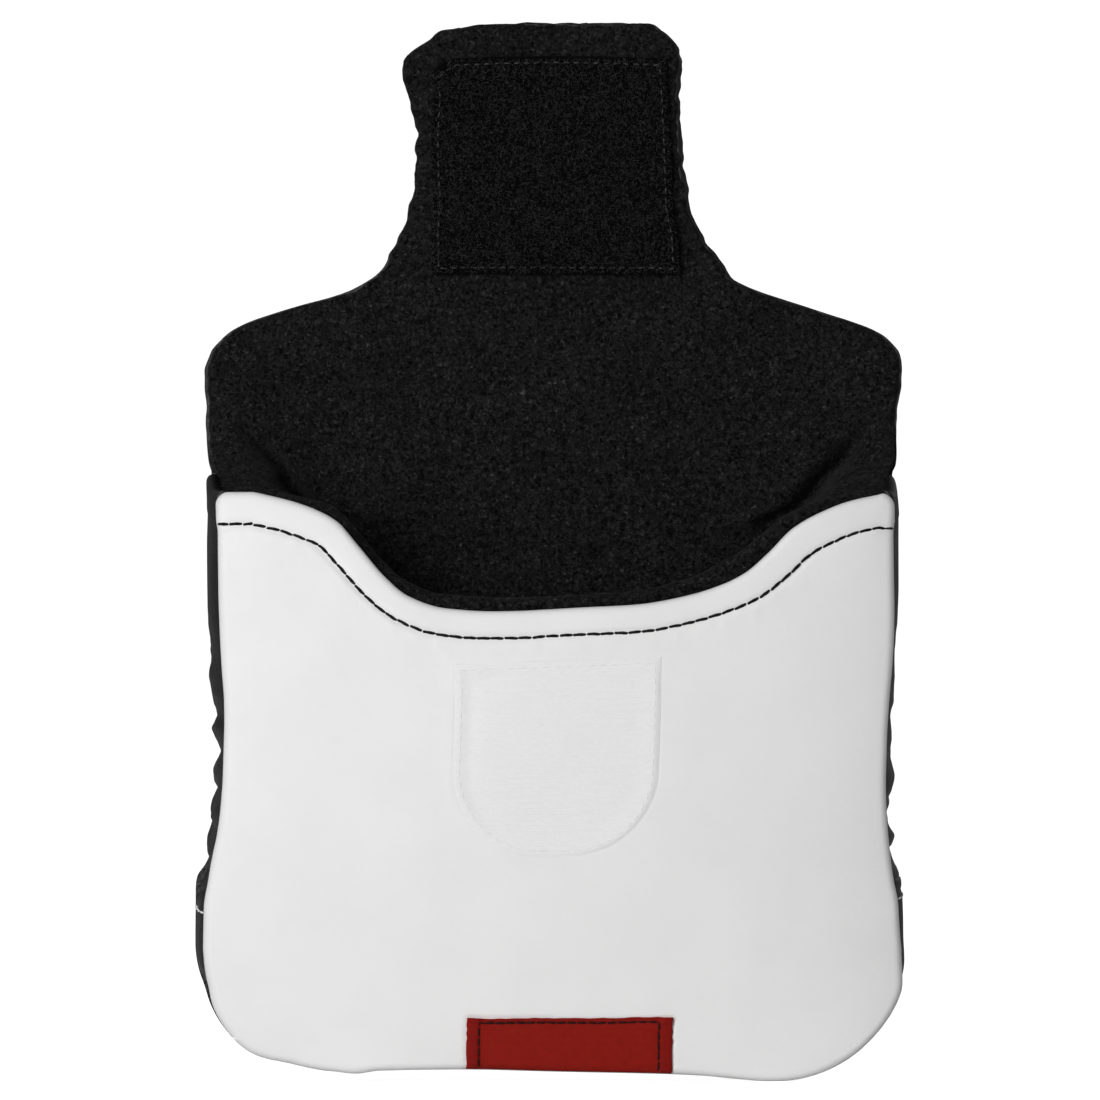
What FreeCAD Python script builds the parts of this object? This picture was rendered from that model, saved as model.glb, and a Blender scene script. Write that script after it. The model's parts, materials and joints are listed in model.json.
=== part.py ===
"""Opened mallet putter head cover: a padded pouch with a two-fold flap, in millimetres.

The cover stands on its bottom strip. X runs across it, Y from the white front panel to the back
panel, and Z up the flap. Every wall is a synthetic-leather shell, a foam pad and a fleece lining.
"""
import FreeCAD, Part
import Sketcher
import math
import os
from types import SimpleNamespace

DRIVING_SIZES = [
    # outline of the pouch, half-widths at heights above the base
    ("hip_half", 67.2, "widest half-width, at the top of the bottom corners"),
    ("corner_round", 25.0, "radius of the bottom corners"),
    ("waist_half", 63.7, "half-width where the elastic pulls the sides in"),
    ("waist_height", 60.0, "height of that waist"),
    ("chest_half", 65.4, "half-width below the mouth"),
    ("chest_height", 97.0, "height where the sides run straight"),
    ("panel_inset", 1.2, "how far the front and back panels stay inside the gussets"),
    ("base_lift", 0.2, "how far the panel edges stay above the bottom strip's face"),
    # mouth of the front panel
    ("mouth_low", 89.4, "height of the bottom of the scoop"),
    ("mouth_high", 111.4, "height of the mouth's corners"),
    ("mouth_flat", 14.0, "half-length of the scoop's level bottom"),
    ("mouth_round", 2.2, "radius of the mouth's corners"),
    ("rim_rise", 2.4, "how far the rolled lining stands above the front panel"),
    ("foam_drop", 1.0, "how far the front foam stops below the mouth's edge"),
    # flap, half-widths at heights
    ("fold_height", 115.0, "height of the fold between the back panel and the flap"),
    ("fold_gap", 0.3, "gap between the sections at a fold"),
    ("flap_foot_half", 65.0, "half-width of the flap at that fold"),
    ("shoulder_half", 66.1, "widest half-width of the shoulders"),
    ("shoulder_height", 134.0, "height of the widest place"),
    ("slope_half", 60.0, "half-width where the shoulder's slope starts"),
    ("slope_height", 142.5, "height of that place"),
    ("neck_foot_half", 37.4, "half-width where the slope turns up into the neck"),
    ("neck_foot_height", 150.3, "height of that place"),
    ("neck_half", 25.3, "half-width of the neck"),
    ("neck_height", 167.3, "height where the neck is narrowest"),
    ("head_half", 26.3, "half-width of the tab under its round corners"),
    ("top_height", 201.0, "top of the tab"),
    ("head_round", 8.5, "radius of the tab's top corners"),
    # walls and depth
    ("pouch_depth", 37.0, "from the front panel's crown to the back panel"),
    ("crown_height", 56.0, "height of the front panel's crown"),
    ("crown_radius", 520.0, "radius of the front panel's crown"),
    ("shell", 1.2, "thickness of the synthetic leather"),
    ("foam", 2.5, "thickness of the foam"),
    ("fleece", 2.0, "thickness of the fleece on the panels"),
    ("gusset_shell", 1.6, "thickness of the gussets' synthetic leather"),
    ("gusset_fleece", 1.6, "thickness of the gussets' fleece"),
    ("fit_gap", 0.1, "clearance between the pad and the gussets round it"),
    ("foam_margin", 2.0, "how far the flap's foam stays inside its shell"),
    ("lining_margin", 0.6, "how far the flap's lining stays inside its shell"),
    # gussets
    ("joint_height", 34.2, "height where the side gussets meet the bottom strip"),
    ("gusset_top", 114.0, "height of the side gussets' hemmed tops"),
    ("elastic_low", 39.0, "lower end of the gathered stretch"),
    ("elastic_high", 72.0, "upper end of the gathered stretch"),
    ("elastic_width", 10.0, "width of the elastic"),
    ("elastic_thick", 0.8, "thickness of the elastic"),
    # closure and label
    ("tape_thick", 1.5, "thickness of the hook tape, and of the loop tape"),
    ("hook_half", 19.5, "half-width of the hook patch"),
    ("hook_low", 42.6, "bottom of the hook patch"),
    ("hook_high", 80.7, "top of the hook patch"),
    ("hook_round", 13.5, "radius of its lower corners"),
    ("hook_corner", 1.0, "radius of its upper corners"),
    ("loop_half", 22.5, "half-width of the loop patch"),
    ("loop_low", 153.2, "bottom of the loop patch"),
    ("loop_high", 194.4, "top of the loop patch"),
    ("loop_round", 1.5, "radius of its corners"),
    ("closing_gap", 0.3, "gap between the two tapes when the flap is closed"),
    ("label_width", 39.0, "width of the woven label"),
    ("label_middle", 3.4, "how far its middle lies to the right"),
    ("label_low", 1.0, "bottom of the label"),
    ("label_high", 11.7, "top of the label"),
    ("label_thick", 0.6, "thickness of the folded label"),
    # thread
    ("hem_width", 5.0, "distance from the mouth's edge to its topstitching"),
    ("stitch_pitch", 2.2, "distance from stitch to stitch"),
    ("stitch_length", 1.6, "visible length of one stitch"),
    ("thread", 0.5, "width of the thread"),
    ("thread_proud", 0.3, "how far a stitch stands proud"),
    ("thread_gap", 0.05, "air under a stitch"),
    ("seam_margin", 1.4, "distance from a patch's edge to its stitches"),
]

doc = FreeCAD.newDocument("head_cover")
sheet = doc.addObject("Spreadsheet::Sheet", "dim")
made = []


class Size:
    """A length that remembers its formula in the sheet, so that features can be bound to it."""

    def __init__(self, value, text):
        self.value = value
        self.text = text

    def __add__(self, other):
        other = as_size(other)
        return Size(self.value + other.value, f"({self.text} + {other.text})")

    def __sub__(self, other):
        other = as_size(other)
        return Size(self.value - other.value, f"({self.text} - {other.text})")

    def __mul__(self, other):
        other = as_size(other)
        return Size(self.value * other.value, f"({self.text} * {other.text})")

    def __truediv__(self, other):
        other = as_size(other)
        return Size(self.value / other.value, f"({self.text} / {other.text})")

    def __neg__(self):
        return Size(-self.value, f"(0 - {self.text})")

    def root(self):
        return Size(math.sqrt(self.value), f"sqrt({self.text})")


def as_size(number):
    return number if isinstance(number, Size) else Size(float(number), str(float(number)))


def read_sizes():
    """Write the driving sizes into the sheet and return them under their aliases."""
    sizes = {}
    for row, (alias, value, note) in enumerate(DRIVING_SIZES, start=1):
        sheet.set(f"A{row}", alias)
        sheet.set(f"B{row}", str(value))
        sheet.set(f"C{row}", note)
        sheet.setAlias(f"B{row}", alias)
        sizes[alias] = Size(float(value), f"dim.{alias}")
    doc.recompute()
    return SimpleNamespace(**sizes)


d = read_sizes()

# ---------------------------------------------------------------- places worked out from the sizes
wall = d.shell + d.foam + d.fleece
back_face = (d.pouch_depth + d.tape_thick + d.thread_proud) / 2
crown_face = back_face - d.pouch_depth
hinge_y = back_face - wall
fold_reach = d.pouch_depth - wall + d.tape_thick + d.tape_thick + d.closing_gap
front_fold_height = d.fold_height + fold_reach
gusset_wall = d.gusset_shell + d.gusset_fleece
pad_inset = gusset_wall + d.fit_gap
half_gap = d.fold_gap / 2
crown_axis = crown_face + d.crown_radius
crown_reach = d.top_height / 3
beyond = d.top_height


# ---------------------------------------------------------------- sketches
def bind(feature, name, size):
    setattr(feature, name, size.value)
    feature.setExpression(name, size.text)


def new_body(label):
    body = doc.addObject("PartDesign::Body", label)
    made.append(body)
    return body


def new_sketch(body, role, name):
    """An empty sketch on one of the body's own origin planes."""
    plane = [item for item in body.Origin.OriginFeatures if item.Role == role][0]
    sketch = body.newObject("Sketcher::SketchObject", name)
    sketch.AttachmentSupport = (plane, [""])
    sketch.MapMode = "FlatFace"
    return sketch


def constrain(sketch, wanted):
    """Add constraints that have a size, and bind each one to its formula in the sheet."""
    first = sketch.ConstraintCount
    sketch.addConstraint([Sketcher.Constraint(*where, size.value) for where, size in wanted])
    for index, (where, size) in enumerate(wanted, start=first):
        name = f"{where[0]}_{index}"
        sketch.renameConstraint(index, name)
        sketch.setExpression(f"Constraints.{name}", size.text)


def point_place(edge, end, point):
    """The two distances from the sketch's origin that fix one end of an edge."""
    across, up = point
    return [(("DistanceX", -1, 1, edge, end), across), (("DistanceY", -1, 1, edge, end), up)]


def arc_between(first, last, bend):
    """The short arc of a signed radius; a positive one bulges out of an outline drawn anticlockwise."""
    start = FreeCAD.Vector(first[0].value, first[1].value, 0)
    end = FreeCAD.Vector(last[0].value, last[1].value, 0)
    chord = end - start
    radius = abs(bend.value)
    rise = math.sqrt(max(radius ** 2 - (chord.Length / 2) ** 2, 0.0))
    left = FreeCAD.Vector(-chord.y, chord.x, 0).normalize()
    centre = start + chord / 2 + left * (rise if bend.value > 0 else -rise)
    if bend.value < 0:
        start, end = end, start
    begin = math.atan2(start.y - centre.y, start.x - centre.x)
    finish = math.atan2(end.y - centre.y, end.x - centre.x)
    circle = Part.Circle(centre, FreeCAD.Vector(0, 0, 1), radius)
    return Part.ArcOfCircle(circle, begin, finish)


def line_between(first, last):
    return Part.LineSegment(FreeCAD.Vector(first[0].value, first[1].value, 0),
                            FreeCAD.Vector(last[0].value, last[1].value, 0))


def draw(sketch, points, bends):
    """Add a closed outline; bends[i] is the signed radius from points[i] to the next, or None."""
    shapes = []
    for index, bend in enumerate(bends):
        following = points[(index + 1) % len(points)]
        if bend is None:
            shapes.append(line_between(points[index], following))
        else:
            shapes.append(arc_between(points[index], following, bend))
    edges = sketch.addGeometry(shapes)
    joins = []
    wanted = []
    for index, edge in enumerate(edges):
        backwards = bends[index] is not None and bends[index].value < 0
        start = 2 if backwards else 1
        before = (index - 1) % len(edges)
        end_before = 1 if bends[before] is not None and bends[before].value < 0 else 2
        joins.append(Sketcher.Constraint("Coincident", edges[before], end_before, edge, start))
        wanted += point_place(edge, start, points[index])
        if bends[index] is not None:
            wanted.append((("Radius", edge), -bends[index] if backwards else bends[index]))
    sketch.addConstraint(joins)
    constrain(sketch, wanted)


def mirrored(points, bends):
    """Close the right half of an outline with its mirror image about the middle."""
    left = [(-across, up) for across, up in reversed(points)]
    return points + left, bends + [None] + list(reversed(bends)) + [None]


def box_outline(low_across, high_across, low_up, high_up):
    corners = [(low_across, low_up), (high_across, low_up), (high_across, high_up), (low_across, high_up)]
    return [(as_size(across), as_size(up)) for across, up in corners], [None] * 4


def rounded_box(half, low, high, low_round, high_round):
    """A patch outline about the middle, with its lower and upper corners rounded."""
    points = [(half - low_round, low), (half, low + low_round), (half, high - high_round), (half - high_round, high)]
    return mirrored(points, [low_round, None, high_round])


# ---------------------------------------------------------------- outlines seen from the front
def sagging_radius(run, rise):
    """Radius of an arc that leaves square to its run and has moved sideways by its rise."""
    return (run * run + rise * rise) / (rise * 2)


def side_outline(inset, lift):
    """Right side of the pouch from the base to the chest: corner, hip, waist and chest."""
    side = d.hip_half - inset
    foot = d.hip_half - d.corner_round
    waist = d.waist_half - inset
    chest = d.chest_half - inset
    half_run = (d.waist_height - d.corner_round) / 2
    half_rise = (side - waist) / 2
    hip_bend = sagging_radius(half_run, half_rise)
    chest_bend = sagging_radius(d.chest_height - d.waist_height, chest - waist)
    corner_bend = sagging_radius(d.corner_round - lift, side - foot)
    points = [(foot, as_size(lift)), (side, d.corner_round), (side - half_rise, d.corner_round + half_run),
              (waist, d.waist_height), (chest, d.chest_height)]
    return points, [corner_bend, hip_bend, -hip_bend, -chest_bend]


def scoop(end, hem):
    """Right half of the mouth's curve, or of a line a hem's width below it: two equal arcs."""
    half_run = (end - d.mouth_flat) / 2
    half_rise = (d.mouth_high - d.mouth_low) / 2
    bend = sagging_radius(half_run, half_rise)
    turn = (end - half_run + hem * half_run / bend, d.mouth_high - half_rise - hem * (bend - half_rise) / bend)
    points = [(end, d.mouth_high - hem), turn, (d.mouth_flat, d.mouth_low - hem)]
    return points, [bend - hem, -(bend + hem)]


def mouth_outline(inset, lift, rise):
    """Front panel outline: the sides, the two mouth corners and the scoop between them."""
    points, bends = side_outline(inset, lift)
    side = d.chest_half - inset
    scoop_points, scoop_bends = scoop(side - d.mouth_round, as_size(0))
    raised = [(across, up + rise) for across, up in scoop_points]
    points.append((side, raised[0][1] - d.mouth_round))
    return mirrored(points + raised, bends + [None, d.mouth_round] + scoop_bends)


def back_outline(inset, lift):
    """Back panel outline, up to the fold."""
    points, bends = side_outline(inset, lift)
    points.append((d.chest_half - inset, d.fold_height - half_gap))
    return mirrored(points, bends + [None])


def flap_outline(inset):
    """Whole flap from the fold to the top of the tab."""
    slope = (d.neck_foot_height - d.slope_height) / (d.slope_half - d.neck_foot_half)
    shoulder = d.shoulder_half - inset
    slope_start = (d.slope_half - slope * inset, d.slope_height - inset)
    neck_foot = (d.neck_foot_half - slope * inset, d.neck_foot_height - inset)
    neck = d.neck_half - inset
    head = d.head_half - inset
    top = d.top_height - inset
    head_bend = d.head_round - inset
    shoulder_bend = sagging_radius(slope_start[1] - d.shoulder_height, shoulder - slope_start[0])
    neck_bend = sagging_radius(d.neck_height - neck_foot[1], neck_foot[0] - neck)
    points = [(d.flap_foot_half - inset, d.fold_height + half_gap), (shoulder, d.shoulder_height), slope_start,
              neck_foot, (neck, d.neck_height), (head, top - head_bend), (head - head_bend, top)]
    return mirrored(points, [None, shoulder_bend, None, -neck_bend, None, head_bend])


def side_band(outer, inner):
    """Strip of an even thickness up the right side of the pouch, from under it to the gusset's top."""
    out_points, out_bends = side_outline(outer, outer)
    in_points, in_bends = side_outline(inner, inner)
    out_points.append((d.chest_half - outer, d.gusset_top))
    in_points.append((d.chest_half - inner, d.gusset_top))
    inward = [-bend for bend in reversed(in_bends)]
    return out_points + list(reversed(in_points)), out_bends + [None, None, None] + inward + [None]


def flipped(points, bends):
    """The mirror image of a closed outline about the middle."""
    return [(-across, up) for across, up in reversed(points)], list(reversed(bends[:-1])) + bends[-1:]


def bottom_band(outer, inner):
    """Strip of an even thickness round the base and both its corners, open at the top."""
    points, bends = side_band(outer, inner)
    left_points, left_bends = flipped(points, bends)
    return points + left_points, bends[:-1] + [None] + left_bends[:-1] + [None]


# ---------------------------------------------------------------- ways a piece is made
def cut_away(body, name, role, *outlines):
    """Remove what lies inside the drawn outlines, right through the body."""
    sketch = new_sketch(body, role, name + "_sketch")
    for points, bends in outlines:
        draw(sketch, points, bends)
    pocket = body.newObject("PartDesign::Pocket", name)
    pocket.Profile = sketch
    pocket.Type = "ThroughAll"
    pocket.Midplane = True
    body.Tip = pocket


def keep_inside(body, name, role, outline):
    """Remove everything outside one outline."""
    far = beyond * 3
    cut_away(body, name, role, box_outline(-far, far, -far, far), outline)


def panel(label, outline, depth, thickness):
    """Flat layer of the back panel or the flap, at a depth below the back face."""
    body = new_body(label)
    sketch = new_sketch(body, "XZ_Plane", label + "_outline")
    draw(sketch, *outline)
    sketch.setExpression("AttachmentOffset.Base.z", (-(back_face - depth)).text)
    pad = body.newObject("PartDesign::Pad", label + "_layer")
    pad.Profile = sketch
    bind(pad, "Length", as_size(thickness))
    body.Tip = pad
    return body


def crown_point(depth, up):
    """Place of the crowned surface at a depth under the front face, in side view."""
    radius = d.crown_radius - depth
    drop = up - d.crown_height
    return crown_axis - (radius * radius - drop * drop).root()


def turn_about_crown(body, kind, name, points, bends):
    """Revolve a side-view profile about the upright axis of the front panel's crown."""
    sketch = new_sketch(body, "YZ_Plane", name + "_profile")
    draw(sketch, points, bends)
    low = FreeCAD.Vector(crown_axis.value, -beyond.value, 0)
    high = FreeCAD.Vector(crown_axis.value, beyond.value, 0)
    axis = sketch.addGeometry(Part.LineSegment(low, high), True)
    constrain(sketch, point_place(axis, 1, (crown_axis, -beyond)) + point_place(axis, 2, (crown_axis, beyond)))
    feature = body.newObject(kind, name)
    feature.Profile = sketch
    feature.ReferenceAxis = (sketch, ["Axis0"])
    feature.Angle = 30.0
    feature.Midplane = True
    body.Tip = feature


def crowned(label, outline, outer, inner):
    """Layer that follows the crowned front between two depths, cut to an outline."""
    body = new_body(label)
    low = d.crown_height - crown_reach
    high = d.crown_height + crown_reach
    points = [(crown_point(outer, low), low), (crown_point(inner, low), low),
              (crown_point(inner, high), high), (crown_point(outer, high), high)]
    bends = [None, -(d.crown_radius - inner), None, d.crown_radius - outer]
    turn_about_crown(body, "PartDesign::Revolution", label + "_crown", points, bends)
    keep_inside(body, label + "_trim", "XZ_Plane", outline)
    return body


def band(label, outline):
    """Gusset layer: a strip that fills the depth between the front shell and the back shell."""
    body = panel(label, outline, d.shell, d.pouch_depth)
    low = d.crown_height - crown_reach
    high = d.crown_height + crown_reach
    front = -beyond
    points = [(front, low), (crown_point(d.shell, low), low), (crown_point(d.shell, high), high), (front, high)]
    bends = [None, -(d.crown_radius - d.shell), None, None]
    turn_about_crown(body, "PartDesign::Groove", label + "_front_cut", points, bends)
    return body


# ---------------------------------------------------------------- the pieces
def make_front():
    crowned("front_shell", mouth_outline(d.panel_inset, d.base_lift, as_size(0)), as_size(0), d.shell)
    crowned("front_foam", mouth_outline(pad_inset, pad_inset, -d.foam_drop), d.shell, d.shell + d.foam)
    crowned("front_lining", mouth_outline(pad_inset, pad_inset, d.rim_rise), d.shell + d.foam, wall)
    hook = rounded_box(d.hook_half, d.hook_low, d.hook_high, d.hook_round, d.hook_corner)
    crowned("hook_patch", hook, -d.tape_thick, as_size(0))
    label_half = d.label_width / 2
    label = box_outline(d.label_middle - label_half, d.label_middle + label_half, d.label_low, d.label_high)
    crowned("woven_label", label, -d.label_thick, as_size(0))


def make_back():
    panel("back_shell", back_outline(d.panel_inset, d.base_lift), as_size(0), d.shell)
    panel("back_foam", back_outline(pad_inset, pad_inset), d.shell, d.foam)
    panel("back_lining", back_outline(pad_inset, pad_inset), d.shell + d.foam, d.fleece)


def make_gussets():
    middle = (back_face + crown_face) / 2
    elastic_half = d.elastic_width / 2
    elastic_inset = d.gusset_shell + d.elastic_thick
    centred = box_outline(middle - elastic_half, middle + elastic_half, -beyond, beyond)
    above_joint = box_outline(-beyond, beyond, d.joint_height, beyond)
    stretch = box_outline(-beyond, beyond, d.elastic_low, d.elastic_high)
    for side, turn in (("left", flipped), ("right", lambda points, bends: (points, bends))):
        gusset = band(f"gusset_{side}", turn(*side_band(as_size(0), d.gusset_shell)))
        keep_inside(gusset, f"gusset_{side}_ends", "XZ_Plane", above_joint)
        elastic = band(f"gusset_elastic_{side}", turn(*side_band(d.gusset_shell, elastic_inset)))
        keep_inside(elastic, f"gusset_elastic_{side}_ends", "XZ_Plane", stretch)
        keep_inside(elastic, f"gusset_elastic_{side}_width", "YZ_Plane", centred)
        blank = band(f"gusset_lining_{side}_blank", turn(*side_band(d.gusset_shell, gusset_wall)))
        keep_inside(blank, f"gusset_lining_{side}_ends", "XZ_Plane", above_joint)
        made.remove(blank)
        lining = doc.addObject("Part::Cut", f"gusset_lining_{side}")
        lining.Base = blank
        lining.Tool = elastic
        made.append(lining)
    below_joint = box_outline(-beyond, beyond, -beyond, d.joint_height)
    for label, outer, inner in (("bottom_gusset", as_size(0), d.gusset_shell),
                                ("bottom_lining", d.gusset_shell, gusset_wall)):
        bottom = band(label, bottom_band(outer, inner))
        keep_inside(bottom, label + "_ends", "XZ_Plane", below_joint)


def make_flap():
    layers = (("shell", as_size(0), as_size(0), d.shell), ("foam", d.foam_margin, d.shell, d.foam),
              ("lining", d.lining_margin, d.shell + d.foam, d.fleece))
    below_fold = box_outline(-beyond, beyond, -beyond, front_fold_height - half_gap)
    above_fold = box_outline(-beyond, beyond, front_fold_height + half_gap, beyond * 2)
    for layer, margin, depth, thickness in layers:
        for section, kept in (("shoulder", below_fold), ("tab", above_fold)):
            label = f"{section}_{layer}"
            body = panel(label, flap_outline(margin), depth, thickness)
            keep_inside(body, label + "_ends", "XZ_Plane", kept)
    loop = rounded_box(d.loop_half, d.loop_low, d.loop_high, d.loop_round, d.loop_round)
    panel("loop_patch", loop, wall, d.tape_thick)


# ---------------------------------------------------------------- thread
def path(points, bends):
    """Wire through the points of an open or closed line, in the plane of the front sketches."""
    edges = []
    for index, bend in enumerate(bends):
        first = points[index]
        last = points[(index + 1) % len(points)]
        if bend is None:
            edges.append(line_between(first, last).toShape())
        else:
            edges.append(arc_between(first, last, bend).toShape())
    return Part.Wire(Part.__sortEdges__(edges))


def on_crown(proud):
    """Places on the crowned front face, or on a layer that stands proud of it."""
    def place(across, up):
        radius = (d.crown_radius + proud).value
        drop = up - d.crown_height.value
        return FreeCAD.Vector(across, crown_axis.value - math.sqrt(radius ** 2 - drop ** 2 - across ** 2), up)
    return place


def on_loop_patch(across, up):
    """Place on the face of the loop patch."""
    return FreeCAD.Vector(across, (hinge_y - d.tape_thick).value, up)


def stitch(place, along, outward):
    """One visible stitch: a short bar that lies on a surface."""
    length = d.stitch_length.value
    width = d.thread.value
    corner = FreeCAD.Vector(-length / 2, -width / 2, d.thread_gap.value)
    bar = Part.makeBox(length, width, d.thread_proud.value, corner)
    bar.Placement = FreeCAD.Placement(place, FreeCAD.Rotation(along, FreeCAD.Vector(), outward, "XZY"))
    return bar


def seam(wire, surface):
    """Evenly spaced stitches along a line drawn from the front, laid on a surface."""
    count = max(round(wire.Length / d.stitch_pitch.value), 1)
    marks = wire.discretize(Number=2 * count + 1)
    bars = []
    for index in range(count):
        before, middle, after = marks[2 * index:2 * index + 3]
        run = (after - before).normalize()
        place = surface(middle.x, middle.y)
        along = surface(middle.x + run.x, middle.y + run.y) - place
        beside = surface(middle.x + run.y, middle.y - run.x) - place
        outward = along.cross(beside).normalize()
        bars.append(stitch(place, along, outward if outward.y < 0 else -outward))
    return bars


def thread_piece(label, bars):
    """All the stitches of one seam, as one piece of separate solids."""
    piece = doc.addObject("Part::Feature", label)
    piece.Shape = Part.makeCompound(bars)
    made.append(piece)


def patch_line(half, low, high, low_round):
    """Stitch line inside the edge of a patch."""
    margin = d.seam_margin
    return path(*rounded_box(half - margin, low + margin, high - margin, low_round, d.thread))


def gusset_seam():
    """Rows of stitches across both sides, where the bottom strip joins the gussets."""
    side = d.hip_half.value
    bend = sagging_radius((d.waist_height - d.corner_round) / 2, (d.hip_half - d.waist_half) / 2).value
    up = (d.joint_height + d.seam_margin / 2).value
    rise = up - d.corner_round.value
    across = side - bend + math.sqrt(bend ** 2 - rise ** 2)
    back = (back_face - d.shell - d.seam_margin).value
    front = on_crown(-d.shell)(across, up).y + d.seam_margin.value
    count = max(int((back - front) / d.stitch_pitch.value), 1)
    bars = []
    for sign in (-1, 1):
        outward = FreeCAD.Vector(sign * (across - side + bend), 0, rise).normalize()
        for index in range(count):
            place = FreeCAD.Vector(sign * across, front + (index + 0.5) * (back - front) / count, up)
            bars.append(stitch(place, FreeCAD.Vector(0, 1, 0), outward))
    return bars


def make_thread():
    end = d.chest_half - d.panel_inset - d.mouth_round
    points, bends = scoop(end, d.hem_width)
    points, bends = mirrored([(end + d.mouth_round / 2, points[0][1])] + points, [None] + bends)
    thread_piece("mouth_stitching", seam(path(points, bends[:-1]), on_crown(as_size(0))))
    hook = patch_line(d.hook_half, d.hook_low, d.hook_high, d.hook_round - d.seam_margin)
    thread_piece("hook_patch_stitching", seam(hook, on_crown(d.tape_thick)))
    label_half = d.label_width / 2 - d.seam_margin
    top = d.label_high - d.seam_margin
    left = d.label_middle - label_half
    right = d.label_middle + label_half
    low = d.label_low + d.seam_margin / 2
    corners = [(left, low), (left, top), (right, top), (right, low)]
    thread_piece("label_stitching", seam(path(corners, [None] * 3), on_crown(d.label_thick)))
    loop = patch_line(d.loop_half, d.loop_low, d.loop_high, d.thread)
    thread_piece("loop_patch_stitching", seam(loop, on_loop_patch))
    thread_piece("gusset_joint_stitching", gusset_seam())


for build in (make_front, make_back, make_gussets, make_flap, make_thread):
    build()
doc.recompute()


def check_document():
    """Stop if any object failed to build or any piece isn't one or more valid solids."""
    for item in doc.Objects:
        if "Invalid" in item.State or "Error" in item.State:
            raise RuntimeError(f"{item.Name} failed: {item.State}")
    for piece in made:
        if piece.Shape.isNull() or not piece.Shape.isValid() or not piece.Shape.Solids:
            raise RuntimeError(f"{piece.Label} has no valid solid")


check_document()
os.makedirs("parts", exist_ok=True)
for piece in made:
    piece.Shape.exportStep(f"parts/{piece.Label}.step")
    print(f"{piece.Label:26s} {len(piece.Shape.Solids)} solids {piece.Shape.Volume:10.1f} mm3")
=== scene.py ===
"""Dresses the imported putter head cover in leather, fleece, tapes and thread, with a camera and studio light.

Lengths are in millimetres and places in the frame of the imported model: x to the right, y to the back, z up.
"""

import json
import math
import random

import bpy
import numpy as np
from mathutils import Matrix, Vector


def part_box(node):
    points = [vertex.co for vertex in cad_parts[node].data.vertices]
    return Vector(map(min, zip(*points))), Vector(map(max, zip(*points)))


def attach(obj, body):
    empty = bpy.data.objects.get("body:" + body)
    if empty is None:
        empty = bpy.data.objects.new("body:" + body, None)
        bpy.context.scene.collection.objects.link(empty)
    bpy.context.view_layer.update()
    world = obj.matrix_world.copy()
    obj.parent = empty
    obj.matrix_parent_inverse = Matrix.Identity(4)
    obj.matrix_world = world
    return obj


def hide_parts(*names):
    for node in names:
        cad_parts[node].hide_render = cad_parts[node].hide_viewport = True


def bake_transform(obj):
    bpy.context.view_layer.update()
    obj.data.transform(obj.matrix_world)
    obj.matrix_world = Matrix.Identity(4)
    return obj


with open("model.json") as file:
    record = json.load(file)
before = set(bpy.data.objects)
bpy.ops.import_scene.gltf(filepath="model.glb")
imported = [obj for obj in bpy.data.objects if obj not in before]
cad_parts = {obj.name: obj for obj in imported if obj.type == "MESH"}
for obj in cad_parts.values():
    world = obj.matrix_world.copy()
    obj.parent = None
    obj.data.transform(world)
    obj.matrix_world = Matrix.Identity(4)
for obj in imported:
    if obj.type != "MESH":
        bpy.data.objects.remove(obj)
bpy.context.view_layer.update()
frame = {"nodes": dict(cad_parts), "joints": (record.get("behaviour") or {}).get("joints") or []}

MM = 0.001


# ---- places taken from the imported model


def node_box(name):
    """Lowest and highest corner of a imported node."""
    low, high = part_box(name)
    return np.array(low) / MM, np.array(high) / MM


def joint_height(name):
    """Height of a fold's hinge line."""
    return next(j["pos_m"][2] for j in frame["joints"] if j["name"] == name) / MM


CROWN_FACE = node_box("front_shell")[0][1]
BACK_FACE = node_box("back_shell")[1][1]
FLEECE_FACE = node_box("back_lining")[0][1]
HIP_HALF = node_box("bottom_gusset")[1][0]
STRIP_TOP = node_box("bottom_gusset")[1][2]
FLAP_TOP = node_box("tab_shell")[1][2]
HOOK_LOW, HOOK_HIGH = node_box("hook_patch")
LOOP_LOW, LOOP_HIGH = node_box("loop_patch")
LABEL_LOW, LABEL_HIGH = node_box("woven_label")
LABEL_LEFT, LABEL_RIGHT = LABEL_LOW[0] - 0.45, LABEL_HIGH[0] - 0.45
LABEL_FOLD = 2.3
BACK_FOLD = joint_height("back_fold")
FRONT_FOLD = joint_height("front_fold")

CROWN_RADIUS = 520.0
CROWN_HEIGHT = 56.0
CORNER_ROUND = 25.0
PANEL_INSET = 1.0
PANEL_LEATHER = 1.5
EDGE_DROP = 0.35
PANEL_ROLL = 1.3
SEAM_DEPTH = 16.6
SPLIT_HEIGHT = (BACK_FOLD + FRONT_FOLD) / 2 - 1.3
ACROSS_SIDES = np.concatenate([[0, 0.01, 0.025, 0.045, 0.07], np.linspace(0.1, 0.9, 34),
                               [0.93, 0.955, 0.975, 0.99, 1]])


# ---- small tools


def smooth(t):
    """Eases from 0 to 1."""
    t = np.clip(t, 0, 1)
    return t * t * (3 - 2 * t)


def ramp(x, start, end):
    """0 before start, 1 after end, eased between them."""
    return smooth((np.asarray(x, float) - start) / (end - start))


def bell(x, middle, width):
    """A smooth bump of height 1."""
    return np.exp(-(((np.asarray(x, float) - middle) / width) ** 2))


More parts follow.
